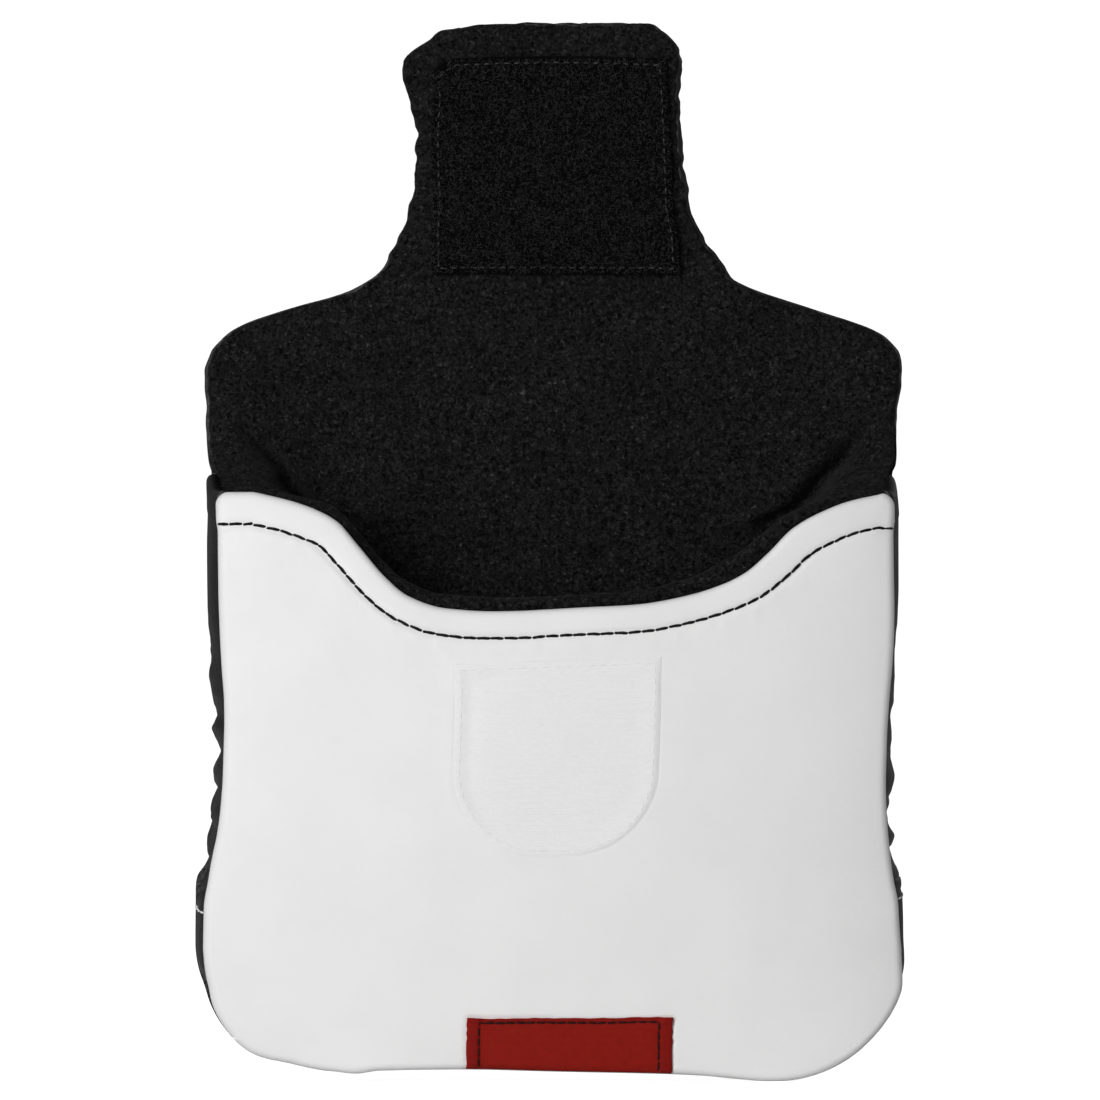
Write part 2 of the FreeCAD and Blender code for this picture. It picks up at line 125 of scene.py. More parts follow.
def through(pairs):
    """A smooth curve through (place, value) pairs that doesn't overshoot, level beyond both ends."""
    at, value = np.array(pairs, float).T
    step = np.diff(at)
    slope = np.diff(value) / step
    tangent = np.concatenate([slope[:1], np.zeros(len(at) - 2), slope[-1:]])
    for k in range(1, len(at) - 1):
        if slope[k - 1] * slope[k] > 0:
            a, b = 2 * step[k] + step[k - 1], step[k] + 2 * step[k - 1]
            tangent[k] = (a + b) / (a / slope[k - 1] + b / slope[k])

    def curve(x):
        x = np.asarray(x, float)
        k = np.clip(np.searchsorted(at, x, side="right") - 1, 0, len(step) - 1)
        t = np.clip((x - at[k]) / step[k], 0, 1)
        rise = value[k] + (value[k + 1] - value[k]) * t * t * (3 - 2 * t)
        lean_in = step[k] * tangent[k] * t * (1 - t) ** 2
        lean_out = step[k] * tangent[k + 1] * t * t * (t - 1)
        return rise + lean_in + lean_out

    return curve


def noise(a, b, cell, seed):
    """Smooth random heights from -1 to 1 over a plane, with lumps about one cell wide."""
    size = 256
    lattice = np.random.default_rng(seed).uniform(-1, 1, (size, size))
    u, v = np.asarray(a, float) / cell + size, np.asarray(b, float) / cell + size
    i, j = np.floor(u).astype(int), np.floor(v).astype(int)
    s, t = smooth(u - i), smooth(v - j)
    i, j, i1, j1 = i % size, j % size, (i + 1) % size, (j + 1) % size
    low = lattice[i, j] * (1 - s) + lattice[i1, j] * s
    high = lattice[i, j1] * (1 - s) + lattice[i1, j1] * s
    return low * (1 - t) + high * t


def along(line, share):
    """Points at the given shares of a polyline's length."""
    line = np.asarray(line, float)
    reach = np.concatenate([[0], np.cumsum(np.linalg.norm(np.diff(line, axis=0), axis=1))])
    place = np.asarray(share) * reach[-1]
    return np.stack([np.interp(place, reach, line[:, k]) for k in range(line.shape[1])], -1)


def length_of(line):
    """Length of a polyline."""
    return float(np.linalg.norm(np.diff(np.asarray(line, float), axis=0), axis=1).sum())


def distance(x, z, line):
    """Distance in the plane from each point to a polyline."""
    x, z = np.broadcast_arrays(x, z)
    flat = np.stack([x.ravel(), z.ravel()], -1)
    start, run = line[:-1], np.diff(line, axis=0)
    square = np.maximum((run**2).sum(1), 1e-12)
    best = []
    for some in np.array_split(flat, max(1, len(flat) // 3000)):
        gap = some[:, None] - start[None]
        share = np.clip((gap * run[None]).sum(2) / square[None], 0, 1)
        best.append(np.sqrt(((gap - share[:, :, None] * run[None]) ** 2).sum(2)).min(1))
    return np.concatenate(best).reshape(x.shape)


def arc(centre, radius, start, end, count=9):
    """Points on an arc, with its angles in degrees."""
    angle = np.radians(np.linspace(start, end, count))
    return np.stack([centre[0] + radius * np.cos(angle), centre[1] + radius * np.sin(angle)], -1)


def shares(length, step, fine_ends=True):
    """Shares of a length, close together at both ends, where an edge is rolled."""
    fine = np.array([0, 0.1, 0.25, 0.45, 0.7, 1.0, 1.35, 1.75, 2.2, 2.7]) if fine_ends else np.zeros(1)
    reach = fine[-1]
    middle = np.linspace(reach, length - reach, max(3, round((length - 2 * reach) / step)))
    return np.concatenate([fine[:-1], middle, length - fine[-2::-1] if fine_ends else []]) / length


def bulging(share, power):
    """1 in the middle of a sheet and 0 at both edges, flatter in the middle for a larger power."""
    return 1 - np.abs(2 * share - 1) ** power


def patch(low, high, left, right, across, up):
    """Places of a grid between four border lines."""
    b, t = along(low, across)[None], along(high, across)[None]
    l, r = along(left, up)[:, None], along(right, up)[:, None]
    u, v = across[None, :, None], up[:, None, None]
    low_corners = (1 - u) * (1 - v) * b[:, :1] + u * (1 - v) * b[:, -1:]
    high_corners = (1 - u) * v * t[:, :1] + u * v * t[:, -1:]
    grid = (1 - v) * b + v * t + (1 - u) * l + u * r - (low_corners + high_corners)
    return grid[..., 0], grid[..., 1]


# ---- meshes


def build(name, points, faces, material, body="pouch"):
    """A smooth-shaded mesh from points in millimetres and arrays of faces, all facing outwards."""
    points = np.asarray(points, float).reshape(-1, 3) * MM
    faces = [np.asarray(f, np.int32) for f in faces if len(f)]
    mesh = bpy.data.meshes.new(name)
    mesh.vertices.add(len(points))
    mesh.vertices.foreach_set("co", points.astype(np.float32).ravel())
    corners = np.concatenate([f.ravel() for f in faces])
    sizes = np.concatenate([np.full(len(f), f.shape[1]) for f in faces])
    mesh.loops.add(len(corners))
    mesh.loops.foreach_set("vertex_index", corners)
    mesh.polygons.add(len(sizes))
    starts = np.concatenate([[0], np.cumsum(sizes)[:-1]])
    mesh.polygons.foreach_set("loop_start", starts.astype(np.int32))
    mesh.update(calc_edges=True)
    mesh.shade_smooth()
    mesh.materials.append(material)
    piece = bpy.data.objects.new(name, mesh)
    bpy.context.scene.collection.objects.link(piece)
    if body:
        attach(piece, body)
    return piece


def grid_quads(rows, columns, start=0, ring=False):
    """Faces of a grid of points, closed round its columns if it is a ring."""
    index = start + np.arange(rows * columns).reshape(rows, columns)
    if ring:
        index = np.concatenate([index, index[:, :1]], axis=1)
    a, b, c, d = index[:-1, :-1], index[:-1, 1:], index[1:, 1:], index[1:, :-1]
    return np.stack([a, b, c, d], -1).reshape(-1, 4)


def closed_sheet(name, face, back, material, body="pouch", cut_row=None):
    """A closed piece between two grids of points. A cut row meets another piece and has a sharp border."""
    rows, columns = face.shape[:2]
    count = rows * columns
    index = np.arange(count).reshape(rows, columns)
    border = np.concatenate([index[0, :-1], index[:-1, -1], index[-1, :0:-1], index[:0:-1, 0]])
    onward = np.roll(border, -1)
    rim = np.stack([border, border + count, onward + count, onward], -1)
    faces = [grid_quads(rows, columns), grid_quads(rows, columns, count)[:, ::-1], rim]
    points = np.concatenate([face.reshape(-1, 3), back.reshape(-1, 3)])
    quads = np.concatenate(faces)
    a, b, c, d = (points[quads[:, k]] for k in range(4))
    volume = (a * (np.cross(b, c) + np.cross(c, d))).sum()
    if volume < 0:
        faces = [f[:, ::-1] for f in faces]
    piece = build(name, points, faces, material, body)
    if cut_row is not None:
        row = np.concatenate([index[cut_row], index[cut_row] + count])
        ends = np.zeros(len(piece.data.edges) * 2, np.int32)
        piece.data.edges.foreach_get("vertices", ends)
        sharp = np.isin(ends.reshape(-1, 2), row).all(axis=1)
        piece.data.attributes.new("sharp_edge", "BOOLEAN", "EDGE").data.foreach_set("value", sharp)
    return piece


def stack(x, y, z):
    """One grid of points from three grids of numbers."""
    return np.stack(np.broadcast_arrays(x, y, z), -1)


def roll(gap, radius):
    """How far a surface falls back at a given distance from its rolled edge."""
    inside = np.clip(radius - gap, 0, radius)
    return radius - np.sqrt(radius**2 - inside**2)


# ---- materials


class Shader:
    """A node material for things measured in millimetres."""

    def __init__(self, name):
        self.material = bpy.data.materials.new(name)
        self.material.use_nodes = True
        tree = self.material.node_tree
        self.nodes, self.links = tree.nodes, tree.links
        self.nodes.clear()
        self.surface = self.nodes.new("ShaderNodeBsdfPrincipled")
        output = self.nodes.new("ShaderNodeOutputMaterial")
        self.links.new(self.surface.outputs[0], output.inputs["Surface"])
        place = self.nodes.new("ShaderNodeTexCoord")
        scale = self.nodes.new("ShaderNodeVectorMath")
        scale.operation = "SCALE"
        scale.inputs["Scale"].default_value = 1 / MM
        self.links.new(place.outputs["Object"], scale.inputs[0])
        self.place = scale.outputs[0]

    def put(self, value, socket):
        """Links a socket or sets a constant."""
        if isinstance(value, bpy.types.NodeSocket):
            self.links.new(value, socket)
        else:
            socket.default_value = value

    def stretched(self, x, y, z):
        """Places multiplied by three numbers."""
        node = self.nodes.new("ShaderNodeVectorMath")
        node.operation = "MULTIPLY"
        node.inputs[1].default_value = (x, y, z)
        self.links.new(self.place, node.inputs[0])
        return node.outputs[0]

    def texture(self, kind, output, size, place=None, **inputs):
        """A texture of a size, with its other inputs by name."""
        node = self.nodes.new("ShaderNodeTex" + kind)
        node.inputs["Scale"].default_value = size
        for name, value in inputs.items():
            node.inputs[name.title()].default_value = value
        self.links.new(place or self.place, node.inputs["Vector"])
        return node, node.outputs[output]

    def noise(self, size, detail=2.0, roughness=0.5, distortion=0.0, place=None):
        """Cloudy noise with lumps of a size."""
        return self.texture("Noise", "Fac", 1 / size, place, detail=detail, roughness=roughness,
                            distortion=distortion)[1]

    def cells(self, size):
        """Distance inside rounded random cells of a size."""
        node, distance_inside = self.texture("Voronoi", "Distance", 1 / size)
        node.feature = "SMOOTH_F1"
        return distance_inside

    def wave(self, pitch, direction, distortion=0.0):
        """Ribs across an axis."""
        node, ribs = self.texture("Wave", "Fac", math.pi / 10 / pitch, distortion=distortion)
        node.bands_direction = direction
        return ribs

    def math(self, operation, a, b=0.0):
        """One sum."""
        node = self.nodes.new("ShaderNodeMath")
        node.operation = operation
        self.put(a, node.inputs[0])
        self.put(b, node.inputs[1])
        return node.outputs[0]

    def ramp(self, value, low, high, start=0.0, end=1.0):
        """Maps low..high to start..end."""
        node = self.nodes.new("ShaderNodeMapRange")
        for socket, number in zip(node.inputs, (value, low, high, start, end)):
            self.put(number, socket)
        return node.outputs["Result"]

    def mix(self, share, a, b):
        """A colour between two."""
        node = self.nodes.new("ShaderNodeMix")
        node.data_type = "RGBA"
        self.put(share, node.inputs[0])
        self.put(a, node.inputs[6])
        self.put(b, node.inputs[7])
        return node.outputs[2]

    def bump(self, height, depth, normal=None):
        """Relief of a depth."""
        node = self.nodes.new("ShaderNodeBump")
        node.inputs["Distance"].default_value = depth * MM
        self.put(height, node.inputs["Height"])
        if normal is not None:
            self.links.new(normal, node.inputs["Normal"])
        return node.outputs["Normal"]

    def finish(self, **values):
        """Sets the surface's inputs by name and returns the material."""
        for name, value in values.items():
            title = name.replace("_", " ").title().replace("Ior", "IOR")
            self.put(value, self.surface.inputs[title])
        return self.material


def grey(level, warmth=0.0):
    """A grey with a slight warmth."""
    return (level * (1 + warmth), level, level * (1 - warmth), 1.0)


def leather(name, dark, light, roughness, grain, coat, gloss):
    """Synthetic leather: a fine pebbled grain, pores and a slight change of tone."""
    s = Shader(name)
    tone = s.mix(s.ramp(s.noise(18, 3), 0.35, 0.65), dark, light)
    pebble = s.cells(0.75)
    pores = s.noise(0.22, 3, 0.6)
    swells = s.bump(s.noise(4.5, 2), 0.12 * grain)
    relief = s.bump(pores, 0.02 * grain, s.bump(pebble, 0.05 * grain, swells))
    rough = s.ramp(s.noise(7, 3), 0.3, 0.7, roughness - 0.05, roughness + 0.06)
    return s.finish(base_color=tone, roughness=rough, normal=relief, specular_ior_level=gloss,
                    coat_weight=coat, coat_roughness=0.35)


def fleece(name, low, high, tip_highlight, lump, sheen):
    """Napped fleece: soft lumps in its relief, with painted shade that darkens the relief's low places and
    painted highlights that lighten the fibre ends.
    """
    s = Shader(name)
    lumps = s.noise(lump, 2, 0.55)
    fibres = s.noise(0.70, 3, 0.65, 0.9)
    patches = s.noise(14, 2)
    # Painted shade: the colour darkens where the fibres and lumps of the relief lie low.
    painted_hollow_shade = s.ramp(fibres, 0.36, 0.66, 0.0, 1.3)
    shade = s.math("MULTIPLY", s.ramp(lumps, 0.3, 0.7, 0.55, 1.0), painted_hollow_shade)
    cloth = s.mix(s.math("MULTIPLY", shade, s.ramp(patches, 0.3, 0.7, 0.8, 1.1)), low, high)
    # Painted highlight: the colour lightens towards a third colour on the fibre ends, where the relief is
    # highest.
    cloth_with_painted_light = s.mix(s.ramp(fibres, 0.62, 0.76), cloth, tip_highlight)
    relief = s.bump(fibres, 0.30, s.bump(lumps, 0.4))
    return s.finish(base_color=cloth_with_painted_light, roughness=0.95, normal=relief, specular_ior_level=0.06,
                    sheen_weight=sheen, sheen_roughness=0.5, sheen_tint=grey(0.8))


def thread_material(name, dark, light, size=0.25):
    """Twisted sewing thread."""
    s = Shader(name)
    tone = s.mix(s.ramp(s.noise(size, 2), 0.35, 0.65), dark, light)
    return s.finish(base_color=tone, roughness=0.65, normal=s.bump(s.noise(0.08, 2), 0.03),
                    specular_ior_level=0.15)


def hook_material():
    """Hook tape: rows of tiny hooks on a woven ground."""
    s = Shader("white_hook_tape")
    rows = s.wave(0.55, "Z", 1.2)
    hooks = s.noise(0.3, 2, 0.6, 0.5, s.stretched(0.35, 1, 1))
    tone = s.mix(s.ramp(hooks, 0.35, 0.65), grey(0.77), grey(0.80))
    relief = s.bump(hooks, 0.03, s.bump(rows, 0.012))
    return s.finish(base_color=tone, roughness=0.5, normal=relief, specular_ior_level=0.35)


def label_material(name, dark, light):
    """A satin-woven label: fine floats along the weft."""
    s = Shader(name)
    weft = s.wave(0.22, "Z", 0.3)
    warp = s.wave(0.30, "X", 0.3)
    weave = s.math("MULTIPLY", weft, s.ramp(warp, 0, 1, 0.55, 1.0))
    slubs = s.math("MULTIPLY", s.noise(1.5, 3), 0.5)
    tone = s.mix(s.ramp(s.math("ADD", weave, slubs), 0.2, 1.1), dark, light)
    relief = s.bump(weave, 0.07, s.bump(s.noise(2.5, 2), 0.15))
    return s.finish(base_color=tone, roughness=0.62, normal=relief, specular_ior_level=0.12)


def elastic_material():
    """Braided elastic: lengthwise ribs."""
    s = Shader("elastic_band")
    ribs = s.wave(0.9, "Y", 0.2)
    tone = s.mix(ribs, grey(0.02), grey(0.06))
    return s.finish(base_color=tone, roughness=0.8, normal=s.bump(ribs, 0.25))


WHITE_LEATHER = leather("white_leather", grey(0.775, 0.001), grey(0.795, 0.001),
                        roughness=0.48, grain=0.40, coat=0.03, gloss=0.32)
BLACK_LEATHER = leather("black_leather", grey(0.004), grey(0.009),
                        roughness=0.46, grain=2.4, coat=0.0, gloss=0.36)
# The third colour of each fleece is its painted highlight on the fibre ends; its hollows carry painted shade.
BLACK_FLEECE = fleece("black_fleece", grey(0.0002), grey(0.0170), grey(0.055), lump=1.6, sheen=0.03)
LOOP_GROUND = fleece("black_loop_ground", grey(0.0003), grey(0.0025), grey(0.006), lump=0.8, sheen=0.01)
LOOP_PILE = thread_material("black_loop_pile", grey(0.0005), grey(0.070), 0.45)
LOOP_THREAD = thread_material("black_loop_thread", grey(0.010), grey(0.070), 0.5)
HOOK_TAPE = hook_material()
RED_LABEL = label_material("red_woven_label", (0.200, 0.0045, 0.002, 1), (0.325, 0.012, 0.005, 1))
RED_FOLD = label_material("red_woven_fold", (0.155, 0.003, 0.001, 1), (0.29, 0.008, 0.005, 1))
BLACK_THREAD = thread_material("black_thread", grey(0.0015), grey(0.007))
WHITE_THREAD = thread_material("white_thread", grey(0.74), grey(0.86))
DARK_RED_THREAD = thread_material("dark_red_thread", (0.006, 0.002, 0.002, 1), (0.030, 0.005, 0.005, 1))
ELASTIC = elastic_material()


# ---- outlines of the pouch and the flap

# Half widths by height, and how far the bottom edge rises along x.
side_line = through([
    (25, HIP_HALF), (33, 66.95), (36, 66.9), (38.5, 66.7), (41, 65.6), (44, 65.1), (50, 64.5), (60, 64.35),
    (68, 64.4), (76, 64.8), (85, 65.1), (95, 65.55), (104, 65.55), (114, 65.45)])
panel_line = through([
    (25, HIP_HALF - 0.95), (29, 66.05), (33.6, 65.85), (38, 65.05), (42.8, 64.3), (47.3, 63.6), (52, 63.15),
    (58, 62.9), (66, 62.9), (72, 63.1), (79, 63.65), (86, 64), (92, 64.12), (104.5, 64.12), (106, 64.4),
    (112, 64.45)])
low_wave = through([
    (-60, 0.3), (-48, 2.3), (-42, 1.95), (-37.5, 1.5), (-33, 2.05), (-17, 2.3), (0, 1.9), (23, 1.35),
    (28, 1.1), (35, 0.45), (41, 0), (60, 0)])

# Height, half width and sideways shift of the back panel and the flap.
FLAP_OUTLINE = [
    (113, 65.44, 0.64), (115.3, 64.91, 0.85), (117, 65.48, 0.99), (119, 65.73, 0.95), (123, 65.86, 0.77),
    (128, 65.93, 0.95), (132, 66.51, 1.18), (135, 66.57, 1.24), (138.3, 65.77, 1.55), (139.8, 64.62, 1.54),
    (141.4, 63.09, 1.51), (142.9, 60.68, 1.23), (144.4, 57.07, 0.77), (145.9, 52.49, 0.66),
    (147.4, 47.68, 0.84), (149, 42.31, 1.31), (149.9, 39.62, 1.33), (151.2, 36.63, 1.15),
    (152.8, 34.11, 1.17), (154.3, 32.58, 1.12), (155.8, 31.77, 1.37), (157.3, 31.03, 1.24),
    (158.8, 30.04, 1.06), (160.4, 29.12, 0.77), (161.9, 28.46, 0.74), (163.4, 27.65, 0.67),
    (166.4, 26.89, 0.5), (171, 26.1, 0.67), (174, 25.52, 0.56), (178.6, 25.42, 0.46), (183.2, 25.61, 0.11),
    (186.2, 25.81, -0.67), (189.2, 26.3, -0.8), (191.5, 26.43, -1.04), (193.8, 26.65, -0.77),
    (195.3, 25.88, -0.55), (196.8, 24.53, 0.02), (198.2, 22.98, 0.59), (199.7, 21.1, 0.8),
    (200.4, 18.7, 2.4), (201, 15.3, 4.5), (201.4, 5.5, 9.4)]
POUCH_LEAN = [
    (8, 0.2), (14, 0.5), (17.5, 0.75), (20.5, 0.45), (23.5, 0.2), (28, 0.0), (33, -0.1), (40, -0.15),
    (47, 0.15), (56, 0.42), (65, 0.7), (74, 0.95), (84, 1.0), (95, 0.87), (108, 0.75)]
flap_line = through([(z, half) for z, half, shift in FLAP_OUTLINE])
lean = through(POUCH_LEAN + [(z, shift) for z, half, shift in FLAP_OUTLINE])

# Height of the mouth's edge along x.
mouth_height = through([
    (-57, 111.7), (-48.8, 109.6), (-41.9, 106.4), (-37.35, 101.3), (-32.75, 95.8), (-28.25, 92.0),
    (-21.35, 89.7), (-12.25, 89.1), (6, 89.9), (15.1, 90.4), (24.3, 92.0), (31, 94.05), (35.6, 96.3),
    (40.1, 100.1), (44.75, 104.7), (49.3, 107.4), (56.1, 110.05), (63, 111.5)])
TOP_ROUND = 2.6


def body_half(z):
    """Half width of the pouch seen from the front."""
    z = np.asarray(z, float)
    below = np.clip(CORNER_ROUND - z, 0, CORNER_ROUND)
    corner = HIP_HALF - CORNER_ROUND + np.sqrt(CORNER_ROUND**2 - below**2)
    return np.where(z < CORNER_ROUND, corner, side_line(z))


def waist(z):
    """How far the elastic draws in the back edges of the gussets."""
    return 1.5 * ramp(z, 37, 46) * (1 - ramp(z, 72, 88))


def panel_half(z):
    """Half width of the front panel: inside the gussets, but out to the very edge round the bottom."""
    z = np.asarray(z, float)
    return np.where(z < CORNER_ROUND, body_half(z) - PANEL_INSET * ramp(z, 13, CORNER_ROUND), panel_line(z))


def hem_width(x):
    """Width of the hem turned in along the mouth, from its edge to the stitching."""
    return 5.1 + 1.0 * ramp(np.abs(x), 30, 50)


def pouch_outline(half, mouth, margin=0.0, top_round=TOP_ROUND):
    """The four border lines of a sheet that fills the pouch's outline up to its mouth."""
    centre = HIP_HALF - CORNER_ROUND
    radius = CORNER_ROUND - margin

    def side_top(sign):
        return float(mouth(sign * HIP_HALF)) - top_round

    def side(sign):
        low = arc((centre, CORNER_ROUND), radius, -45, 0, 16)
        low[:, 0] += half(low[:, 1]) - body_half(low[:, 1])
        top = side_top(sign)
        z = np.linspace(CORNER_ROUND, top, 90)[1:]
        up = np.stack([half(z) - margin, z], -1)
        bend = arc((up[-1, 0] - top_round, top), top_round, 0, 45, 7)[1:]
        line = np.concatenate([low, up, bend])
        return line * (sign, 1)

    left, right = side(-1), side(1)
    corner = arc((centre, CORNER_ROUND), radius, -90, -45, 16)
    corner[:, 0] += half(corner[:, 1]) - body_half(corner[:, 1])
    low = np.concatenate([(corner * (-1, 1))[::-1], corner])
    inner = right[-7, 0] - top_round
    x = np.linspace(-inner, inner, 160)
    edge = np.stack([x, mouth(x)], -1)
    right_bend = arc((inner, side_top(1)), top_round, 90, 45, 7)[1:]
    left_bend = arc((-inner, side_top(-1)), top_round, 90, 135, 7)[1:]
    high = np.concatenate([left_bend[::-1], edge, right_bend])
    return low, high, left, right


def crown(x, z):
    """How far the crowned front falls back from its foremost point."""
    return CROWN_RADIUS - np.sqrt(CROWN_RADIUS**2 - x**2 - (z - CROWN_HEIGHT) ** 2)


def settled(x, z):
    """Moves a nominal place in the pouch's outline to where the soft body has it."""
    lifted = z + low_wave(x) * (1 - ramp(z, 2, 16)) * (1 - ramp(np.abs(x), 50, 66))
    return x + lean(z), lifted


def filled(borders, step_across, step_up):
    """Places of a grid that fills a pouch outline."""
    low, high, left, right = borders
    across, up = shares(length_of(low) * 1.05, step_across), shares(length_of(left), step_up)
    return patch(low, high, left, right, across, up)


def ring_of(borders):
    """The four border lines as one line all the way round."""
    low, high, left, right = borders
    return np.concatenate([low, right, high[::-1], left[::-1]])


PANEL_BORDERS = pouch_outline(panel_half, mouth_height)
PANEL_RING = ring_of(PANEL_BORDERS)
MOUTH_LINE = PANEL_BORDERS[1]


# ---- the hook tape's and the label's outlines

HOOK_HALF = (HOOK_HIGH[0] - HOOK_LOW[0]) / 2
HOOK_ROUND = 16.5
HOOK_TILT = 0.035
HOOK_TOP = HOOK_HIGH[2] - 0.9


def hook_gap(x, z):
    """Signed distance to the hook tape's outline, negative inside it."""
    top = HOOK_TOP + HOOK_TILT * x - 0.6 * bell(np.abs(x), HOOK_HALF, 0.7)
    side = np.abs(x) - HOOK_HALF
    centre_x, centre_z = HOOK_HALF - HOOK_ROUND, HOOK_LOW[2] + HOOK_ROUND
    corner = np.hypot(np.maximum(np.abs(x) - centre_x, 0), np.maximum(centre_z - z, 0)) - HOOK_ROUND
    return np.maximum(np.where(z < centre_z, corner, side), z - top)


def label_gap(x, z):
    """Signed distance to the label's outline, negative inside it."""
    middle = (LABEL_LEFT + LABEL_RIGHT) / 2
    half = (LABEL_RIGHT - LABEL_LEFT) / 2
    return np.maximum(np.abs(x - middle) - half, z - LABEL_HIGH[2])


# ---- the front panel


def panel_base(x, z):
    """Depth of the padded front without its hem, its edges and what is sewn on it."""
    return CROWN_FACE + crown(x, z) + 0.12 * noise(x, z, 24, 3) + 0.05 * noise(x, z, 9, 4)


def right_droop(x, z):
    """How far the padded front falls away towards its right side."""
    return 1.8 * np.exp(-np.clip(panel_half(z) - x, 0, None) / 11.0) * ramp(z, 4, 26)


def tape_rim(x, gap):
    """The rise of the padding along the left side of the hook tape's edge."""
    return 0.10 * bell(gap, 0, 2.2) * (1 - ramp(x, -12, 8))


def front_face(x, z):
    """Depth of the front panel's face at nominal places."""
    edge = distance(x, z, PANEL_RING[::2])
    mouth = distance(x, z, MOUTH_LINE)
    hook, label = hook_gap(x, z), label_gap(x, z)
    y = panel_base(x, z) + EDGE_DROP * np.exp(-edge / 4.0) + roll(edge, PANEL_ROLL) + right_droop(x, z)
    hem = hem_width(x)
    pucker = 0.07 * noise(x * 1.6, mouth, 2.4, 5) * bell(mouth, hem + 1.2, 1.8)
    plump = 0.10 * np.sin(np.pi * np.clip(mouth / hem, 0, 1)) * (mouth < hem)
    under_tapes = 0.9 * ramp(-hook, 0.3, 1.2) + 0.25 * (label < 0.2)
    return y + 0.34 * bell(mouth, hem, 0.55) + pucker - plump - tape_rim(x, hook) + under_tapes


def front_panel():
    """White leather over foam, crowned, with a turned hem along the mouth."""
    x, z = filled(PANEL_BORDERS, 0.55, 0.5)
    y = front_face(x, z)
    deep = CROWN_FACE + crown(x, z) + 3.2
    sx, sz = settled(x, z)
    narrower = 1 - 0.001 * np.clip(1 - distance(x, z, PANEL_RING[::2]) / 3, 0, 1)
    back = stack(sx * narrower, np.maximum(deep, y + PANEL_LEATHER), sz)
    piece = closed_sheet("front_panel", stack(sx, y, sz), back, WHITE_LEATHER)
    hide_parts("front_shell", "front_foam")


front_panel()


# ---- the fleece behind the front panel

# How far the fleece rim stands above the white edge along x.
rim_rise = through([
    (-62, 0.9), (-50, 1.4), (-38, 2.8), (-20, 2.7), (5, 2.4), (25, 3.2), (36, 4.8), (40, 4.4), (47.5, 2.6),
    (52.4, 2.1), (58, 1.2), (63, 0.9)])
LINING_INSET = 1.7


def lining_mouth(x):
    """Height of the lining's rolled rim."""
    return mouth_height(x) + rim_rise(x)


def front_fleece():
    """The front's fleece lining, whose thick rolled rim stands above the white edge."""
    borders = pouch_outline(panel_half, lining_mouth, LINING_INSET, 4.0)
    x, z = filled(borders, 0.6, 0.6)
    rim = distance(x, z, borders[1])
    middle = CROWN_FACE + crown(x, z) + 5.3
    half = 1.0 + 0.85 * bell(rim, 1.5, 3.0)
    fluff = 0.22 * noise(x, z, 1.4, 11) + 0.18 * noise(x, z, 3.1, 12)
    sx, sz = settled(x, z)
    sz = sz + 0.5 * fluff * (rim < 3)
    thick = half - roll(rim, 1.7) * half / 1.7 * 0.98
    face, back = stack(sx, middle - thick, sz), stack(sx, middle + thick + fluff, sz)
    piece = closed_sheet("front_fleece", face, back, BLACK_FLEECE)
    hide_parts("front_lining")


front_fleece()


# ---- the back panel and the flap


def flap_half(z):
    """Half width of the back panel and the flap, with the crinkled edges of the neck."""
    z = np.asarray(z, float)
    return np.where(z < 113, body_half(z) - waist(z), flap_line(z))


def crinkle(z, sign):
    """Small bumps along the turned edges of the neck."""
    seed = 21 if sign > 0 else 22
    strength = ramp(z, 146, 156) * (1 - ramp(z, 197, 200.5)) + 0.25 * ramp(z, 118, 124)
    bumps = 0.26 * noise(z, 0 * z, 1.5, seed) + 0.20 * noise(z, 0 * z, 3.4, seed + 2)
    tuck = 0.5 * bell(z, 154.6, 1.1) - 0.4 * bell(z, 152.4, 0.9) if sign > 0 else 0.0
    return strength * bumps + tuck


# How far forward the wings beside the mouth come, and how wide they are, by height.
wing_reach = through([
    (60, 0), (80, 6), (95, 14), (104, 18), (110, 18.5), (112.5, 15), (114.5, 11), (116.5, 8), (119, 5.0),
    (122, 2.6), (126, 0.8), (130, 0)])
wing_width = through([
    (60, 4), (90, 14), (100, 24), (106, 26), (109, 20), (113, 15.5), (117, 12), (121, 9), (127, 5)])


def flap_rows(low, high, step=0.55):
    """Heights whose rows are evenly spaced along the outline."""
    z = np.linspace(low, high, 900)
    line = np.stack([flap_half(z), z], -1)
    return along(line, shares(length_of(line), step, False))[:, 1]


def flap_grid(low, high, inset, step=0.6):
    """Nominal places of a sheet on the back panel and the flap, in rows from low to high."""
    z = flap_rows(low, high)
    across = shares(2 * HIP_HALF, step) * 2 - 1
    half = flap_half(z) - inset(z)
    return across[None] * half[:, None], np.repeat(z[:, None], len(across), 1)


def flap_ring(low, inset):
    """The whole outline of a sheet on the back panel and the flap."""
    z = flap_rows(low, FLAP_TOP + 0.2 - float(inset(FLAP_TOP)), 1.1)
    half = flap_half(z) - inset(z)
    right = np.stack([half, z], -1)
    return np.concatenate([right * (-1, 1), right[::-1], right[:1] * (-1, 1)])


def draped(x, z, fuzz=0.0):
    """Moves a nominal place on the flap to where the photograph has it, with its crinkled edge.

    The fleece also has a fuzzy outline and lies a little to the left on the tab: leather shows at its right.
    """
    edge = ramp(np.abs(x) / np.maximum(flap_half(z), 1), 0.86, 1.0)
    wave = np.where(x > 0, crinkle(z, 1), -crinkle(z, -1))
    lift = 0.14 * noise(x, 0 * x, 2.4, 25) * ramp(z, FLAP_TOP - 4, FLAP_TOP) * (np.abs(x) < 24)
    sx, sz = settled(x, z)
    shift = -0.25 * ramp(z, 142, 150) * (fuzz > 0) * edge
    frayed = fuzz * noise(x + 40, z, 0.75, 27)
    return sx + edge * (wave + frayed) + shift, sz + lift + frayed * ramp(z, FLAP_TOP - 3, FLAP_TOP - 1)


